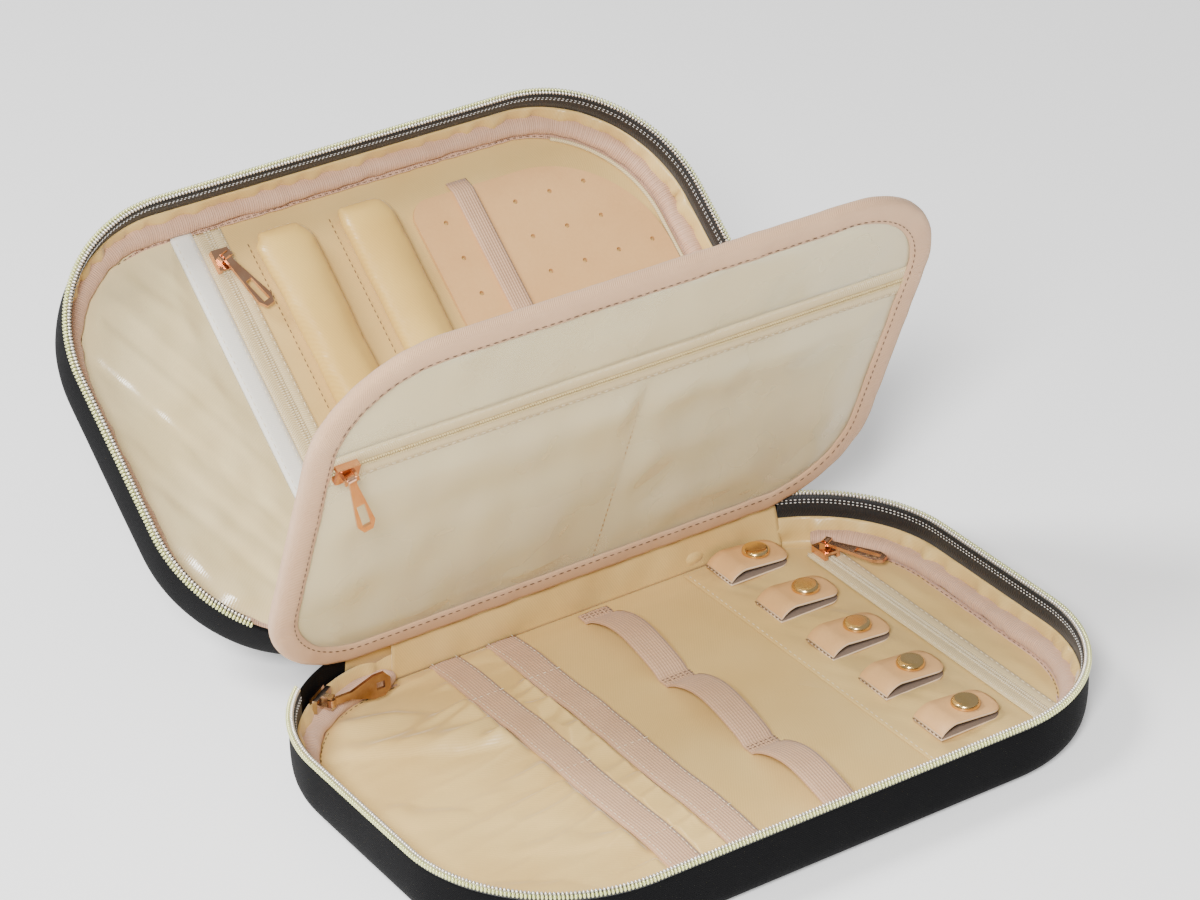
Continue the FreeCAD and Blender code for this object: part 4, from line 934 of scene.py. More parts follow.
# %% Gathered pockets
FRONT_END, BACK_END = span("pocket_band_left")[0][1], span("pocket_band_left")[1][1]
LEFT_BAND = (span("pocket_band_left")[0][0], span("pocket_band_left")[1][0])
RIGHT_BAND = (span("pocket_band_right")[0][0], span("pocket_band_right")[1][0])
POCKET_INSET = 8.2
TUCK = 2.5
POCKET_FLOOR, POCKET_TOP = 5.2, 13.5


def left_reach(y, inset=POCKET_INSET):
    """How far left the pocket reaches at a depth y, inside the bound roll."""
    radius = CORNER - inset
    beyond = abs(y) - (BACK - CORNER)
    side = SIDE - inset
    if beyond <= 0:
        return -side
    return -(SIDE - CORNER) - math.sqrt(max(radius ** 2 - beyond ** 2, 0.0))


def gather(x, y, mouth, reach):
    """Height in millimetres of the gathers at a distance from the mouth."""
    near = math.exp(-abs(mouth - x) / reach)
    ridge = 1 - abs(ripple(y + 0.12 * (mouth - x), 0.05 * x, 3, 9.0)) * 2.6
    fine = 1 - abs(ripple(y, 0.2 * x, 8, 4.5)) * 2.4
    broad = ripple(y + 0.35 * x, 0.02 * x, 12, 30)
    folds = max(0.0, ripple(y + 0.5 * x, 0.15 * x, 27, 17)) ** 0.8
    return max(0.0, 0.1 + 4.4 * ridge * (0.12 + near) + 2.0 * fine * near + 2.4 * broad + 9.0 * folds)


def pocket_cloth(name, start, mouth, reach, node):
    """Cloth from a straight start, or from the bound roll if the start lies beyond it, to the mouth."""
    rows = []
    steps_y, steps_x = 110, 46
    to_roll = start < -SIDE
    for i in range(steps_y + 1):
        y = FRONT_END + (BACK_END - FRONT_END) * i / steps_y
        left = left_reach(y) if to_roll else max(start, left_reach(y))
        row = []
        for j in range(steps_x + 1):
            share = j / steps_x
            x = left + (mouth - left) * share
            ends = min(1.0, 5 * share, 9 * min(i, steps_y - i) / steps_y)
            lift = POCKET_FLOOR + ends * (0.9 + gather(x, y, mouth, reach) * (0.45 + 0.55 * share))
            tucked = mouth - x if to_roll else min(mouth - x, x - start)
            held = POCKET_FLOOR + 0.9 + max(0.0, tucked - 2.2) * 1.5
            row.append((x, y, min(lift, POCKET_TOP, held)))
        rows.append(row)
    cloth = smoothed(thick(surface(name, rows, TRAY_BOARD, SATIN), 0.3))
    wear(cloth, "tray", "satin", node)
    flat = ((mouth - max(start, -SIDE + POCKET_INSET)) * 1.05 * MM, (BACK_END - FRONT_END) * 1.25 * MM)
    round(flat[0] * flat[1] * (0.8 if to_roll else 0.98), 6)
    print(name, "cut to", [round(part * 1000) for part in flat], "mm")


pocket_cloth("gathered_pocket_outer_cloth", -SIDE - 1, LEFT_BAND[0] + TUCK, 22, "gathered_pocket_outer")
pocket_cloth("gathered_pocket_inner_cloth", LEFT_BAND[1] - 2.0, RIGHT_BAND[0] + TUCK, 9,
             "gathered_pocket_inner")

# %% [markdown]
# ## Elastic
#
# Elastic tape edges the two pockets, makes the row of loops in the middle and crosses the earring board.
# `tape_strip` sweeps one flat section, with rounded edges, along a line of points, so each strip needs
# only the line that it follows. Cross stitches hold it down where two loops meet.

# %% Elastic strips
STRIP_SIDE = np.array((-1.0, 0.0, 0.0))


def tape_strip(name, path, width, thickness, board, material):
    """A flat strip along a path of points that runs across x; its width lies along x."""
    path = [np.array(place, float) for place in path]
    half, deep = width / 2, thickness / 2
    section = [(-half, 0), (-half + 0.25, deep * 0.9), (-half * 0.6, deep), (-half * 0.2, deep * 1.15),
               (half * 0.2, deep * 1.15), (half * 0.6, deep), (half - 0.25, deep * 0.9), (half, 0),
               (half - 0.25, -deep * 0.9), (half * 0.5, -deep), (-half * 0.5, -deep),
               (-half + 0.25, -deep * 0.9)]
    rows = []
    for index, place in enumerate(path):
        way = path[min(index + 1, len(path) - 1)] - path[max(index - 1, 0)]
        way /= np.linalg.norm(way)
        up = np.cross(STRIP_SIDE, way)
        up /= np.linalg.norm(up)
        rows.append([place + STRIP_SIDE * across + up * high for across, high in section])
    return outward(surface(name, rows, board, material, tube=True, capped=True))


BAND_STEPS = 120
BAND_THICKNESS = 1.3
TACKS = (22, 62, 98)
TACK_LENGTH = 10.8


def band(name, x, node, seed):
    """An elastic mouth, tacked down in three places: it rides up over the gathers between its ends."""
    middle, width = (x[0] + x[1]) / 2, x[1] - x[0]
    path = []
    for index in range(BAND_STEPS + 1):
        y = BACK_END + (FRONT_END - BACK_END) * index / BAND_STEPS
        ends = min(1.0, 7 * min(index, BAND_STEPS - index) / BAND_STEPS)
        path.append((middle + 0.7 * ends * ripple(y, seed, size=34), y,
                     5.5 + ends * (1.9 + 0.5 * ripple(y, seed, 5, 13))))
    strip = tape_strip(name, path, width - 0.6, BAND_THICKNESS, TRAY_BOARD, ELASTIC)
    wear(strip, "tray", "elastic", node)
    seams = []
    for shift in (-width / 2 + 1.6, width / 2 - 1.6):
        seams.append([(px + shift, py, pz + 0.85) for px, py, pz in path])
    for place in TACKS:
        px, py, pz = path[place]
        seams.append([(px - TACK_LENGTH / 2 + step, py, pz + 0.9)
                      for step in np.linspace(0, TACK_LENGTH, 12)])
    wear(along_line(name + "_stitches", seams, TRAY_BOARD, 2.3, (0.3, 0.3, 1.5), PALE_THREAD), "tray",
         "elastic")


band("pocket_band_left_elastic", LEFT_BAND, "pocket_band_left", 3)
band("pocket_band_right_elastic", RIGHT_BAND, "pocket_band_right", 8)

loop_low, loop_high = span("elastic_loop_strip")
LOOPS, LOOP_FOOT, LOOP_RISE = 3, 5.0, 5.9
LOOP_STEPS = 25
STRIP_LIFT = 0.6


def loop_path():
    """Three long low arches between short stitched feet."""
    start, end = loop_high[1], loop_low[1]
    stretch = (start - end - (LOOPS + 1) * LOOP_FOOT) / LOOPS
    path = []
    for loop in range(LOOPS):
        foot = start - loop * (stretch + LOOP_FOOT)
        path += [(0, foot - part * LOOP_FOOT / 4, FLOOR + STRIP_LIFT) for part in range(4)]
        for step in range(LOOP_STEPS):
            share = step / LOOP_STEPS
            rise = LOOP_RISE * math.sin(math.pi * share) ** 0.7
            path.append((0.5 * math.sin(2 * math.pi * share), foot - LOOP_FOOT - stretch * share,
                         FLOOR + STRIP_LIFT + rise))
    path += [(0, end + LOOP_FOOT * (1 - part / 4), FLOOR + STRIP_LIFT) for part in range(5)]
    middle = (loop_low[0] + loop_high[0]) / 2
    return [(middle + x, y, z) for x, y, z in path], stretch


path, stretch = loop_path()
strip = tape_strip("elastic_loops", path, loop_high[0] - loop_low[0], 1.0, TRAY_BOARD, ELASTIC)
wear(strip, "tray", "elastic", "elastic_loop_strip")
bars = []
for loop in range(LOOPS + 1):
    y = loop_high[1] - LOOP_FOOT / 2 - loop * (stretch + LOOP_FOOT)
    bars += [[(x, y + shift, FLOOR + 1.3) for x in np.linspace(loop_low[0] + 0.8, loop_high[0] - 0.8, 9)]
             for shift in (-0.7, 0.7)]
wear(along_line("elastic_loop_stitches", bars, TRAY_BOARD, 1.7, (0.32, 0.32, 1.2), DARK_THREAD), "tray",
     "elastic")

# %% [markdown]
# ## Snap straps
#
# A snap strap is one strip of leather: its foot is sewn flat, the strip turns back over itself in a round
# fold and its free end snaps down near the tip. From the front the fold shows as a teardrop. The free half
# turns on a joint, so base and flap are two pieces. Each is a section along x, as wide as the strap, with
# leather on the good side, suede on the other and a raw pale edge.

# %% Snap straps
STRAPS = 5
STRAP_WIDTH = 15.0
TIP_RADIUS = 5.0
STRAP_STEPS = 34
EDGE_DROP = [0.28, 0.05, 0, 0, 0, 0.05, 0.28]
FOLD_RISE, FOLD_SHARE, TIP_FALL = 4.1, 0.26, 1.75
FLAP_THICKNESS, FLAP_GAP = 1.25, 0.12


def strap_piece(name, upper, lower, y, body, nodes):
    """A strap of leather between an upper and a lower line of (x, z), with a rounded free end."""
    end = upper[-1][0]
    rows_top, rows_low = [], []
    for (x, top), (_, low) in zip(upper, lower):
        half = STRAP_WIDTH / 2
        past = x - (end - TIP_RADIUS)
        if past > 0:
            half -= TIP_RADIUS - math.sqrt(max(TIP_RADIUS ** 2 - past ** 2, 0.04))
        places = [-half, -half + 0.25, -half * 0.5, 0, half * 0.5, half - 0.25, half]
        rows_top.append([(x, y + place, top - fall) for place, fall in zip(places, EDGE_DROP)])
        rows_low.append([(x, y + place, low + fall) for place, fall in zip(places, EDGE_DROP)][::-1])
    width = len(rows_top[0])
    rows = [top + low for top, low in zip(rows_top, rows_low)]
    strap = outward(surface(name, rows, TRAY_BOARD, LEATHER, tube=True, capped=True))
    strap.data.materials.append(RAW_EDGE)
    strap.data.materials.append(SUEDE)
    for face in strap.data.polygons:
        columns = {index % (2 * width) for index in face.vertices}
        if len(face.vertices) > 4 or columns == {width - 1, width} or columns == {0, 2 * width - 1}:
            face.material_index = 1
        elif max(columns) < width if body == "tray" else min(columns) >= width:
            face.material_index = 2
    return wear(strap, body, "leather", *nodes)


def strap(number):
    """The flap and the base of one strap, and the line of its foot's stitches."""
    flap_low, flap_high = span(f"strap_flap_{number}")
    base_top = span("strap_bases")[1][2]
    y = (flap_low[1] + flap_high[1]) / 2
    fold, end = flap_low[0], flap_high[0]
    upper, lower = [], []
    for step in range(STRAP_STEPS + 1):
        share = step / STRAP_STEPS
        x = fold + 0.25 + (end - fold - 0.25) * share ** 1.35
        along = (x - fold) / (end - fold)
        rise = FOLD_RISE * math.sin(math.pi / 2 * min(1.0, along / FOLD_SHARE)) ** 0.62
        fall = TIP_FALL * (max(0.0, along - FOLD_SHARE) / 0.74) ** 0.9
        top = base_top + rise - fall + FLAP_GAP
        upper.append((x, top))
        lower.append((x, max(top - FLAP_THICKNESS, base_top + FLAP_GAP)))
    strap_piece(f"strap_{number}_flap_leather", upper, lower, y, f"strap_flap_{number}",
                [f"strap_flap_{number}"])
    upper = [(x, base_top - 0.02) for x, _ in upper]
    lower = [(x, base_top - 1.2) for x, _ in upper]
    strap_piece(f"strap_{number}_base_leather", upper, lower, y, "tray",
                [] if number > 1 else ["strap_bases"])
    return [(fold + 1.1, y + place, base_top + 2.05) for place in np.linspace(-6.9, 6.9, 8)], y


seams = []
for number in range(1, STRAPS + 1):
    seam, y = strap(number)
    seams.append([(x - 1.35, y, z - 1.75) for x, y, z in seam])
wear(along_line("strap_foot_stitches", seams, TRAY_BOARD, 1.9, (0.45, 0.5, 1.3), DARK_THREAD), "tray",
     "leather")

# %% [markdown]
# ## Pocket zippers
#
# The tray, the lid and the page each have a zipped pocket: a panel of cloth that stops at a cream tape,
# the tape with its fine coil down the middle, and stitches along both edges. `pocket_zipper` makes tape,
# coil and stitches along a straight track in any plane; the slider and its pull stay as they are in the
# frame, because their shapes are right.

# %% Pocket zippers
COIL_SHIFT = 0.72
SEAM_FROM_EDGE = 0.9


def track(start, end):
    """Points about a millimetre apart."""
    start, end = np.array(start, float), np.array(end, float)
    count = max(2, int(np.linalg.norm(end - start)))
    return [start + (end - start) * part / count for part in range(count + 1)]


def pocket_zipper(label, body, board, start, end, side, up, width, coil, nodes):
    side, up = np.array(side, float), np.array(up, float)
    line = track(start, end)
    section = ((-width / 2, 0.1), (-width / 2 + 0.2, 0.5), (-width * 0.3, 0.62), (-1.7, 0.5), (-1.2, 0.3),
               (1.2, 0.3), (1.7, 0.5), (width * 0.3, 0.62), (width / 2 - 0.2, 0.5), (width / 2, 0.1))
    rows = []
    for index, place in enumerate(line):
        wobble = 0.12 * ripple(index, 23, size=14)
        rows.append([place + side * across + up * (high + wobble) for across, high in section])
    tape = surface(f"{label}_tape_cloth", rows, board, CREAM_TAPE)
    wear(thick(tape, 0.25), body, "pocket_tape", nodes[0])
    turns = [[place + side * shift + up * 0.75 for place in line] for shift in (-COIL_SHIFT, COIL_SHIFT)]
    teeth = along_line(f"{label}_coil_turns", turns, board, 0.92, (1.5, 1.0, 0.66), coil, 0.02)
    wear(teeth, body, "pocket_coil", nodes[1])
    seams = [[place + side * shift + up * 0.72 for place in line]
             for shift in (-width / 2 + SEAM_FROM_EDGE, width / 2 - SEAM_FROM_EDGE)]
    wear(along_line(f"{label}_tape_stitches", seams, board, 2.7, (0.3, 0.3, 1.8), PALE_THREAD), body,
         "pocket_tape")


tape_low, tape_high = span("tray_pocket_tape")
TRAY_TRACK_X = (tape_low[0] + tape_high[0]) / 2
POCKET_TAPE_WIDTH = 11.0
pocket_zipper("tray_pocket", "tray", TRAY_BOARD, (TRAY_TRACK_X, tape_low[1], tape_low[2]),
              (TRAY_TRACK_X, tape_high[1], tape_low[2]), (1, 0, 0), (0, 0, 1), POCKET_TAPE_WIDTH, PALE_COIL,
              ("tray_pocket_tape", "tray_pocket_coil"))

# %% [markdown]
# The pocket panels are loose satin between the tape and the bound roll. They rise a little in the middle
# like any cloth that covers a pocket, with a few long folds, and the tray's is held flat under its zipper.

# %% Pocket panels
PANEL_INSET = 8.4


def panel_cloth(name, board, near_x, outer_sign, base, body, slot_name, node, material, puff, seed,
                depth_ends, zip_x=None):
    """A panel from a straight edge at near_x to the rounded end of the half, flat under its zipper."""
    rows = []
    steps_y, steps_x = 90, 40
    low, high = depth_ends
    for i in range(steps_y + 1):
        y = low + (high - low) * i / steps_y
        far = -outer_sign * left_reach(y, PANEL_INSET)
        row = []
        for j in range(steps_x + 1):
            share = j / steps_x
            x = near_x + (far - near_x) * share
            edge = min(1.0, 6 * share, 6 * (1 - share), 8 * i / steps_y, 8 * (steps_y - i) / steps_y)
            if zip_x is not None:
                edge = min(edge, max(0.1, (abs(x - zip_x) - 6) / 8))
            soft = puff * (0.55 + 0.9 * ripple(x + 0.5 * y, seed, y * 0.2, 24) +
                           0.45 * ripple(x, y, seed, 11) + 0.35 * ripple(x * 2 + y, seed, 3, 9))
            row.append((x, y, base + 0.25 + max(0.0, soft) * edge))
        rows.append(row)
    cloth = smoothed(thick(surface(name, rows, board, material), 0.3))
    wear(cloth, body, slot_name, node)
    flat = (abs(outer_sign * (SIDE - PANEL_INSET) - near_x) * 1.03 * MM, (high - low) * 1.03 * MM)
    round(0.9 * flat[0] * flat[1], 6)


panel_low, _ = span("tray_pocket_panel")
panel_cloth("tray_pocket_panel_cloth", TRAY_BOARD, panel_low[0], 1, panel_low[2], "tray", "satin",
            "tray_pocket_panel", SATIN, 1.7, 5, (FRONT_END, BACK_END), TRAY_TRACK_X)
seam = [(panel_low[0] + 1.2, y, FLOOR + 0.62) for y in np.linspace(FRONT_END + 2, BACK_END - 3, 60)]
wear(along_line("tray_panel_stitches", [seam], TRAY_BOARD, 2.6, (0.3, 0.3, 1.7), PALE_THREAD), "tray",
     "satin")

# %% [markdown]
# ## The lid's fittings
#
# From left to right the lid holds a glossy zipped pocket with a pale strip beside its zipper, two padded
# ring rolls, and a leather earring board under an elastic band. The pocket uses the same two functions as
# the tray's, and the strip is a flat cloth with turned edges and a seam along each.

# %% Lid pocket
LID_X = {name: (span(name)[0][0], span(name)[1][0]) for name in
         ("lid_pocket_panel", "lid_pocket_edge_strip", "lid_pocket_tape", "ring_roll_left", "ring_roll_right",
          "earring_board", "board_band")}
LID_NEAR, LID_FAR = -75.2, 75.2

panel_cloth("lid_pocket_panel_cloth", LID_BOARD, LID_X["lid_pocket_panel"][1], -1, FLOOR, "lid",
            "glossy_satin", "lid_pocket_panel", GLOSSY, 2.8, 14, (LID_NEAR, LID_FAR))
lid_track_x = sum(LID_X["lid_pocket_tape"]) / 2
pocket_zipper("lid_pocket", "lid", LID_BOARD, (lid_track_x, LID_NEAR + 2, FLOOR),
              (lid_track_x, LID_FAR - 2, FLOOR), (1, 0, 0), (0, 0, 1), POCKET_TAPE_WIDTH, PALE_COIL,
              ("lid_pocket_tape", "lid_pocket_coil"))


def edge_strip():
    left, right = LID_X["lid_pocket_edge_strip"]
    rows = []
    for y in np.linspace(LID_NEAR, LID_FAR, 70):
        lift = 0.25 * ripple(y, 61, size=16)
        rows.append([(left, y, FLOOR + 0.3), (left + 0.4, y, FLOOR + 1.0 + lift),
                     (left + 2.5, y, FLOOR + 1.3 + lift), (right - 2.5, y, FLOOR + 1.3 + lift),
                     (right - 0.4, y, FLOOR + 1.0 + lift), (right, y, FLOOR + 0.3)])
    strip = thick(surface("lid_edge_strip_cloth", rows, LID_BOARD, STRIP_WHITE), 0.3)
    wear(strip, "lid", "satin", "lid_pocket_edge_strip")
    (right - left + 2.5) * MM
    seams = [[(x, y, FLOOR + 1.35) for y in np.linspace(LID_NEAR + 1, LID_FAR - 1, 70)]
             for x in (left + 1.3, right - 1.3)]
    wear(along_line("lid_edge_strip_stitches", seams, LID_BOARD, 2.7, (0.3, 0.3, 1.8), PALE_THREAD), "lid",
         "satin")


edge_strip()

# %% [markdown]
# The ring rolls are real cushions, so they are made as one: a slim core is remeshed to an even grid and
# swollen by the cloth solver from the inside, which gives the taut crown and the small wrinkles at the
# ends that a stuffed tube has. No point may travel more than a set distance, so the roll keeps its place.

# %% Ring rolls
ROLL_STEPS, ROLL_PARTS = 76, 26
ROLL_CORE_HEIGHT = 9.2
ROLL_SIMULATED_FRAMES = 20
ROLL_PRESSURE = 4.0
ROLL_VOXEL = 0.0035
ROLL_SWELL_LIMIT = 0.0012


def ring_roll(name, left, right, seed):
    """A stuffed tube of satin, flat below and crowned above, pulled in at both ends."""
    near, far = LID_NEAR + 0.4, BACK - 17.4
    middle, half = (left + right) / 2, (right - left) / 2 - 0.7
    rows = []
    for index in range(ROLL_STEPS + 1):
        share = index / ROLL_STEPS
        y = near + (far - near) * share
        end = min(1.0, (0.35 + min(share, 1 - share) * 14)) ** 0.6
        row = []
        for part in range(ROLL_PARTS):
            angle = 2 * math.pi * part / ROLL_PARTS
            cx = math.copysign(abs(math.cos(angle)) ** 0.9, math.cos(angle))
            cz = math.copysign(abs(math.sin(angle)) ** 0.85, math.sin(angle))
            dent = 1 + 0.03 * ripple(y, angle * 4, seed, 14)
            row.append((middle + half * cx * dent * (0.9 + 0.1 * end), y,
                        FLOOR + 0.25 + ROLL_CORE_HEIGHT * end * dent * (0.5 + 0.5 * cz)))
        rows.append(row)
    roll = outward(surface(name, rows, LID_BOARD, ROLL_SATIN, tube=True, capped=True))
    swell(roll)
    return roll


def swell(piece):
    """Remeshes a closed piece, lets the cloth solver inflate it, and keeps each point near its start."""
    for other in bpy.context.view_layer.objects:
        other.select_set(False)
    bpy.context.view_layer.objects.active = piece
    piece.select_set(True)
    remesh = piece.modifiers.new("even", "REMESH")
    remesh.mode, remesh.voxel_size, remesh.use_smooth_shade = "VOXEL", ROLL_VOXEL, True
    bpy.ops.object.modifier_apply(modifier=remesh.name)
    start = np.array([vertex.co for vertex in piece.data.vertices])
    cloth = piece.modifiers.new("swell", "CLOTH")
    cloth.settings.use_pressure = True
    cloth.settings.uniform_pressure_force = ROLL_PRESSURE
    cloth.settings.effector_weights.gravity = 0
    for number in range(1, ROLL_SIMULATED_FRAMES + 1):
        bpy.context.scene.frame_set(number)
    bpy.ops.object.modifier_apply(modifier=cloth.name)
    bpy.context.scene.frame_set(1)
    moved = np.array([vertex.co for vertex in piece.data.vertices]) - start
    far = np.linalg.norm(moved, axis=1, keepdims=True)
    kept = start + moved * np.minimum(1.0, ROLL_SWELL_LIMIT / np.maximum(far, 1e-9))
    piece.data.vertices.foreach_set("co", kept.astype(np.float32).ravel())
    piece.data.update()


for number, name in enumerate(("ring_roll_left", "ring_roll_right")):
    left, right = LID_X[name]
    roll = ring_roll(name + "_cushion", left, right, 3 + 8 * number)
    smoothed(roll)
    wear(roll, "lid", "satin", name)
    seam = [[(left + 0.9, y, FLOOR + 0.9) for y in np.linspace(LID_NEAR + 3, BACK - 20, 90)]]
    wear(along_line(name + "_stitches", seam, LID_BOARD, 2.3, (0.4, 0.4, 1.5), DARK_THREAD), "lid", "satin")
    print(roll.name, len(roll.data.polygons), "faces")

# %% [markdown]
# The elastic band crosses the earring board and is sewn to the floor above and below it. The board itself
# is the frame's own plate with its holes, in leather. Beside the roll on the right a pale piping shows.

# %% Earring board
BOARD_NEAR, BOARD_FAR = 25 - LID_AXIS[1], BACK - 23
BOARD_BAND_STEPS = 59


def board_band():
    """The band over the board, stepped down to the floor at both ends."""
    middle = sum(LID_X["board_band"]) / 2
    path = []
    for index in range(BOARD_BAND_STEPS + 1):
        y = BOARD_NEAR - 12 + (BOARD_FAR + 12 - 0.5 - BOARD_NEAR + 4) * index / BOARD_BAND_STEPS
        inside = min(y - (BOARD_NEAR - 8.6), BOARD_FAR + 1.0 - y)
        share = max(0.0, min(1.0, 0.5 + inside / 4))
        share = share * share * (3 - 2 * share)
        path.append((middle, y, FLOOR + 0.6 + share * 2.05))
    strip = tape_strip("board_band_elastic", path, 8.6, 0.8, LID_BOARD, ELASTIC)
    return wear(strip, "lid", "elastic", "board_band")


board_band()
PIPING_INSET, PIPING_RADIUS = 10.6, 0.8


def piping():
    line, out, _ = line_of(PIPING_INSET, LID_SPINE, step=1.5)
    turns = np.linspace(0, 2 * math.pi, 9)[:-1]
    rows = []
    for (x, y), (ox, oy) in zip(line, out):
        if x > 60 and y < 70:
            rows.append([(x + ox * PIPING_RADIUS * math.cos(turn), y + oy * PIPING_RADIUS * math.cos(turn),
                          FLOOR + PIPING_RADIUS + PIPING_RADIUS * math.sin(turn)) for turn in turns])
    tube = outward(surface("lid_side_piping", rows, LID_BOARD, CREAM_TAPE, tube=True, capped=True))
    wear(tube, "lid", "grosgrain")


piping()

# %% [markdown]
# ## The page
#
# The page is a stiff board between two covers, bound all round in bias grosgrain. Its front is a pocket of
# clear film with a zipper across it. The film is sewn down at its edges, at the zipper and along one seam in
# the middle, and stands off the board between them in shallow waves.

# %% Page layers
PAGE_HALF = span("page_binding")[1][0]
PAGE_LENGTH = 156.0
PAGE_START = 2.0
PAGE_CORNER = 42.0
NEAR_CORNER = 38.0
TRACK_FROM_HINGE = 109.0
HALF_TAPE = 5.5
SHEET_INSET = 6.0
MIDDLE_SEAM_X = 10.0


def page_line(inset, step):
    """The page's outline at an inset: round corners, a little tighter beside the hinge."""
    near, far = -PAGE_START - inset, -PAGE_LENGTH + inset
    side = PAGE_HALF - inset
    big, small = PAGE_CORNER - inset, NEAR_CORNER - inset
    fine = []
    for x, y, radius, start in ((side, near, small, 90), (side, far, big, 0), (-side, far, big, -90),
                                (-side, near, small, 180)):
        cx, cy = x - math.copysign(radius, x), y - (radius if y == near else -radius)
        for turn in range(0, 91, 5):
            angle = math.radians(start - turn)
            fine.append((cx + radius * math.cos(angle), cy + radius * math.sin(angle)))
    fine = np.array([(0.0, near), *fine, (0.0, near)])
    lengths = running_length(fine)
    places = np.linspace(0, lengths[-1], int(lengths[-1] / step) + 1)[:-1]
    line = evenly(places, lengths, fine)
    return line, left_of(np.roll(line, -1, axis=0) - np.roll(line, 1, axis=0)), places


def page_plate(name, inset, low, high, material, slot_name, node):
    line, out, _ = page_line(inset, 3.0)
    rows = [[(x - ox * shift, y - oy * shift, height) for x, y, ox, oy in np.hstack([line, out])]
            for shift, height in ((0.5, low), (0.0, low + 0.15), (0.0, high - 0.15), (0.5, high))]
    plate = outward(surface(name, rows, PAGE_BOARD, material, tube=True, capped=True))
    return wear(plate, "page", slot_name, node)


page_plate("page_board_cloth", 1.2, -0.5, 0.9, PAGE_CLOTH, "satin", "page_board")


def page_half_width(y, inset):
    """Half the page's width at a place y (negative, from the hinge) at an inset."""
    side = PAGE_HALF - inset
    radius = NEAR_CORNER - inset
    beyond = y + PAGE_START + inset + radius
    if beyond <= 0:
        radius = PAGE_CORNER - inset
        beyond = radius + inset - PAGE_LENGTH - y
    if beyond <= 0:
        return side
    return side - radius + math.sqrt(max(radius ** 2 - beyond ** 2, 0.0))


def page_sheet(name, low_y, high_y, face, puff, material, slot_name, node, seed, seam=None):
    """A sheet across the page between two places. Face gives its height, and the way that it puffs."""
    rows = []
    steps_y, steps_x = int(abs(high_y - low_y) / 1.6), 90
    for i in range(steps_y + 1):
        y = low_y + (high_y - low_y) * i / steps_y
        half = page_half_width(y, SHEET_INSET)
        row = []
        for j in range(steps_x + 1):
            share = j / steps_x
            x = -half + 2 * half * share
            edge = min(1.0, 14 * share, 14 * (1 - share), 9 * i / steps_y, 9 * (steps_y - i) / steps_y)
            if seam is not None:
                edge = min(edge, abs(x - seam) / 9 + 0.12)
            soft = 0.6 + 0.8 * ripple(x * 0.6, y * 1.5, seed, 30) + 0.5 * ripple(x, y * 0.5, seed + 9, 15)
            row.append((x, y, face[0] + face[1] * puff * edge * max(0.05, soft)))
        rows.append(row)
    cloth = smoothed(thick(surface(name, rows, PAGE_BOARD, material), 0.2))
    wear(cloth, "page", slot_name, node)
    flat = (2 * (PAGE_HALF - SHEET_INSET) * MM, abs(high_y - low_y) * MM * 1.02)
    round(flat[0] * flat[1] * (1.0 if abs(low_y) < 110 and abs(high_y) < 110 else 0.9), 6)


page_sheet("page_lower_film", -TRACK_FROM_HINGE + HALF_TAPE, -8.0, (-1.0, -1), 2.4, FILM, "clear_film",
           "page_lower_window", 2, MIDDLE_SEAM_X)
page_sheet("page_upper_film", -PAGE_LENGTH + 6.2, -TRACK_FROM_HINGE - HALF_TAPE, (-1.0, -1), 1.8, FILM,
           "clear_film", "page_upper_window", 21)
page_sheet("page_back_cover_cloth", -PAGE_LENGTH + 6.2, -8.0, (1.3, 1), 1.0, SATIN, "satin",
           "page_back_cover", 33)
pocket_zipper("page_pocket", "page", PAGE_BOARD, (-PAGE_HALF + 8, -TRACK_FROM_HINGE, -0.9),
              (PAGE_HALF - 8, -TRACK_FROM_HINGE, -0.9), (0, 1, 0), (0, 0, -1), 13.0, COIL,
              ("page_pocket_tape", "page_pocket_coil"))
seam = [(MIDDLE_SEAM_X, y, -1.35) for y in np.linspace(-TRACK_FROM_HINGE + 12, -9, 60)]
wear(along_line("page_middle_stitches", [seam], PAGE_BOARD, 2.6, (0.35, 0.35, 1.7), TAN_THREAD), "page",
     "clear_film")

# %% [markdown]
# The binding is a strip of bias grosgrain folded over the page's edge and stitched through both sides. It
# is a section of (inset, height) carried all the way round, a little fuller in some places than in others.

# %% Page binding
BINDING_SECTION = [(9.0, -1.75), (8.7, -2.1), (6.0, -2.45), (2.5, -2.5), (0.7, -2.0), (-0.1, -0.9),
                   (-0.3, 0.3), (-0.1, 1.4), (0.7, 2.2), (2.5, 2.7), (6.0, 2.65), (8.7, 2.3), (9.0, 1.95),
                   (8.6, 1.2), (2.0, 1.3), (0.9, 0.2), (2.0, -1.0), (8.6, -1.1)]


def page_binding():
    line, out, places = page_line(0.0, 1.1)
    rows = []
    for (x, y), (ox, oy), place in zip(line, out, places):
        swell = 0.16 * ripple(place, 71, size=8)
        edge = 0.25 * ripple(place, 83, size=12)
        rows.append([(x - ox * (inset + edge * (inset > 5)), y - oy * (inset + edge * (inset > 5)),
                      height * (1 + swell)) for inset, height in BINDING_SECTION])
    binding = outward(surface("page_binding_cloth", rows, PAGE_BOARD, BINDING, ring=True, tube=True))
    wear(binding, "page", "grosgrain", "page_binding")
    line, _, _ = page_line(7.4, 1.5)
    for side, height in (("front", -2.42), ("back", 2.62)):
        loop = [(x, y, height) for x, y in line]
        wear(along_line(f"page_binding_stitches_{side}", [loop + loop[:1]], PAGE_BOARD, 2.9, (0.4, 0.4, 2.0),
                        DARK_THREAD), "page", "grosgrain")


page_binding()
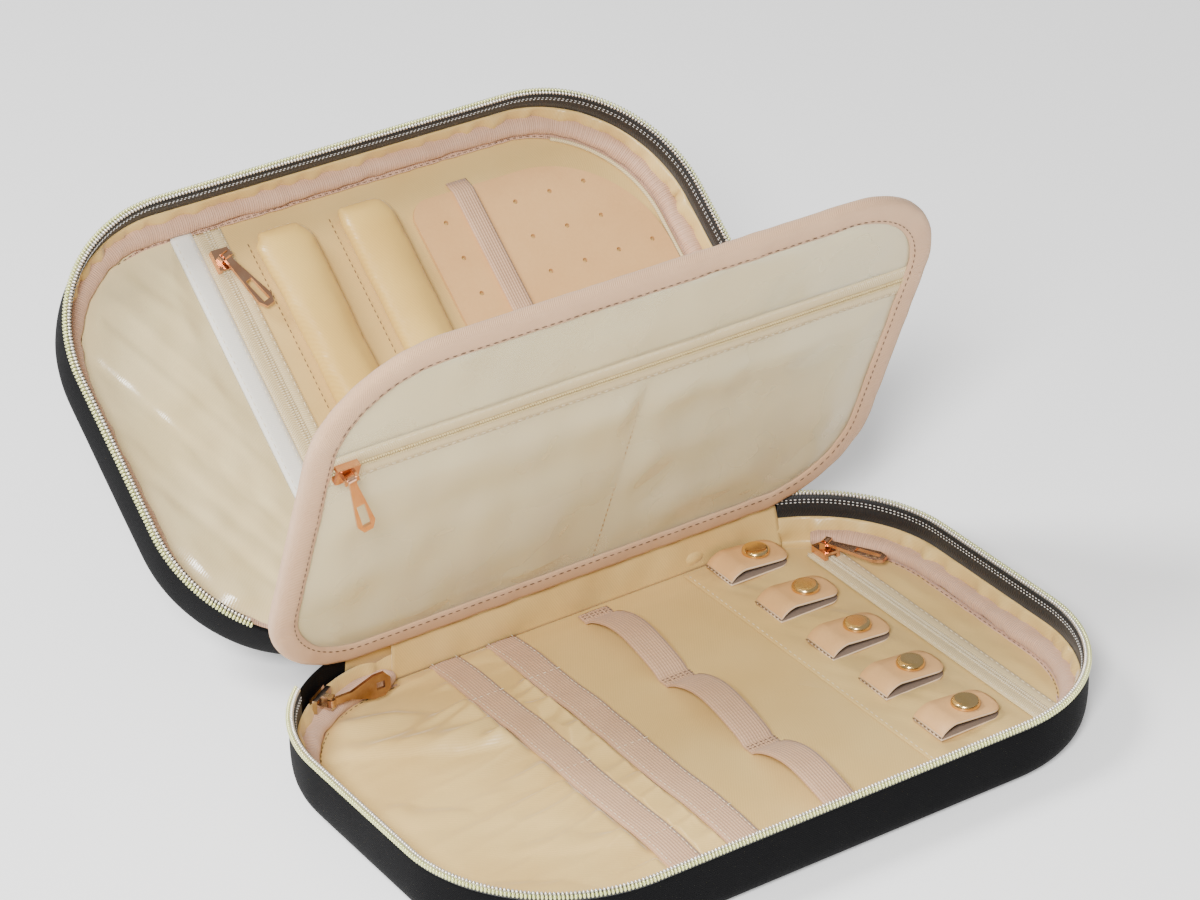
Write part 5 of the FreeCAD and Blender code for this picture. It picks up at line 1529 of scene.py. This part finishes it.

# %% [markdown]
# ## The spine
#
# Three cloths meet at the spine. Outside, a black strip is folded over the hinge line. Inside, satin runs
# from the tray's lining to the lid's. And a satin flap, sewn to the tray's floor, carries the page. Each one
# crosses a joint, and is drawn once in the open pose, riding on no body.

# %% Spine cloths
SPINE_LEFT, SPINE_RIGHT = -SIDE + 42, SIDE - 33


def hinge_point(distance, turn):
    """A point at a distance from the lid's hinge line; turn is in degrees from straight up."""
    angle = math.radians(turn)
    return (LID_AXIS[1] + distance * math.sin(angle), LID_AXIS[2] + distance * math.cos(angle))


def spine_strip(name, path, material, nodes, left, right, thickness, seed):
    rows = []
    for x in np.linspace(left, right, 70):
        rows.append([(x, y, z + 0.25 * ripple(x, y, seed, 12)) for y, z in path])
    strip = thick(surface(name, rows, TRAY_BOARD, material), thickness)
    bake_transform(strip)
    if nodes:
        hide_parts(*nodes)


outside = [(BACK + 0.5, 12.0), (BACK + 0.5, 17.0), (BACK + 0.45, 21.0)]
outside += [hinge_point(1.9 + 0.5 * math.sin(math.radians(turn - 190)), turn)
            for turn in (190, 175, 160, 145)]
lid_wall = [LID @ Vector((0, -BACK - 0.5, height)) for height in (21.0, 17.0, 12.0)]
outside += [(place.y, place.z) for place in lid_wall]
spine_strip("spine_fold_cloth", outside, BLACK, ["spine_fold"], -70, 70, 0.7, 4)
inside = [(BACK - 3.2, 13.0), (BACK - 3.0, 18.0), (BACK - 2.6, 22.0)]
inside += [hinge_point(1.6, turn) for turn in (-60, -25, 10, 45)]
lid_inner = [LID @ Vector((0, -BACK + shift, height))
             for shift, height in ((2.6, 22.0), (3.0, 18.0), (3.2, 13.0))]
inside += [(place.y, place.z) for place in lid_inner]
spine_strip("spine_lining_cloth", inside, SATIN, [], SPINE_LEFT, SPINE_RIGHT, 0.35, 9)


def spine_flap():
    left, right = span("spine_flap")[0][0], SIDE - 36
    foot_y, top = span("spine_flap")[1][1] - 0.4, PAGE_AXIS
    rows = []
    for x in np.linspace(left, right, 120):
        row = []
        corner = max(0.0, x - (SIDE - CORNER))
        back = corner ** 2 / 70
        for share in np.linspace(0, 1, 14):
            y = foot_y + (top[1] - foot_y) * share - back * (1 - share)
            z = FLOOR + 0.2 + (top[2] - 0.6 - FLOOR) * share
            hang = math.sin(math.pi * share)
            fold = 0.9 * hang * (ripple(x, 5 * share, 3, 13) + 0.5 * ripple(x + 6 * share, 7, 1, 6))
            row.append((x, y - 0.3 * hang - max(-0.5, fold), z))
        rows.append(row)
    flap = thick(surface("spine_flap_cloth", rows, TRAY_BOARD, SATIN), 0.4)
    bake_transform(flap)
    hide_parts("spine_flap")


spine_flap()

# %% [markdown]
# The hard parts are already right in the frame, so they only get their finishes: the sliders and pulls, the
# snap caps and studs, the earring board and the stiffeners inside the two shells.

# %% Finishes of the frame's own parts
KEPT = {"snap_studs": BRASS, "earring_board": LEATHER, "tray_base_board": STIFF, "lid_base_board": STIFF,
        "main_zipper_slider": SILVER, "main_zipper_pull": COPPER}
KEPT.update({f"snap_cap_{number}": BRASS for number in range(1, STRAPS + 1)})
KEPT.update({f"{pocket}_pocket_{part}": ROSE_GOLD for pocket in ("tray", "lid", "page")
             for part in ("slider", "pull")})
for name, material in KEPT.items():
    mesh = NODES[name].data
    mesh.materials.clear()
    mesh.materials.append(material)
shown = [name for name, node in NODES.items() if not node.hide_render and name not in KEPT]
print("nodes without a finish:", shown)

# %% [markdown]
# ## Light
#
# A plain pale floor, a soft light low at the front left, which brings out the gathers, another high at the
# back left, and an even surround, as in a small photo tent.

# %% Floor and lights
FLOOR_TONE = tone(246, 246, 246)
floor_mesh = bpy.data.meshes.new("floor")
floor_mesh.from_pydata([(-3, -3, 0), (3, -3, 0), (3, 3, 0), (-3, 3, 0)], [], [(0, 1, 2, 3)])
floor = bpy.data.objects.new("floor", floor_mesh)
bpy.context.scene.collection.objects.link(floor)
paper = Finish("floor_paper", Roughness=0.9, Emission_Color=(1.0, 1.0, 1.0, 1.0), Emission_Strength=0.42)
paper.colour(paper.blend(paper.noise(0.5), FLOOR_TONE, tone(250, 250, 250)))
floor_mesh.materials.append(paper.material)

world = bpy.data.worlds.new("surround")
world.use_nodes = True
world.node_tree.nodes["Background"].inputs["Color"].default_value = (1.0, 1.0, 1.0, 1.0)
world.node_tree.nodes["Background"].inputs["Strength"].default_value = 0.36
bpy.context.scene.world = world


def soft_light(name, place, target, size, power):
    light = bpy.data.lights.new(name, "AREA")
    light.shape, light.size, light.energy = "DISK", size, power
    lamp = bpy.data.objects.new(name, light)
    lamp.location = place
    lamp.rotation_euler = (Vector(target) - Vector(place)).to_track_quat("-Z", "Y").to_euler()
    bpy.context.scene.collection.objects.link(lamp)


soft_light("key_light", (-0.75, -0.8, 0.9), (0, 0.05, 0.05), 0.35, 28)
soft_light("back_light", (-0.9, 0.5, 1.3), (0, 0.05, 0.05), 0.6, 27)
print("lights on")
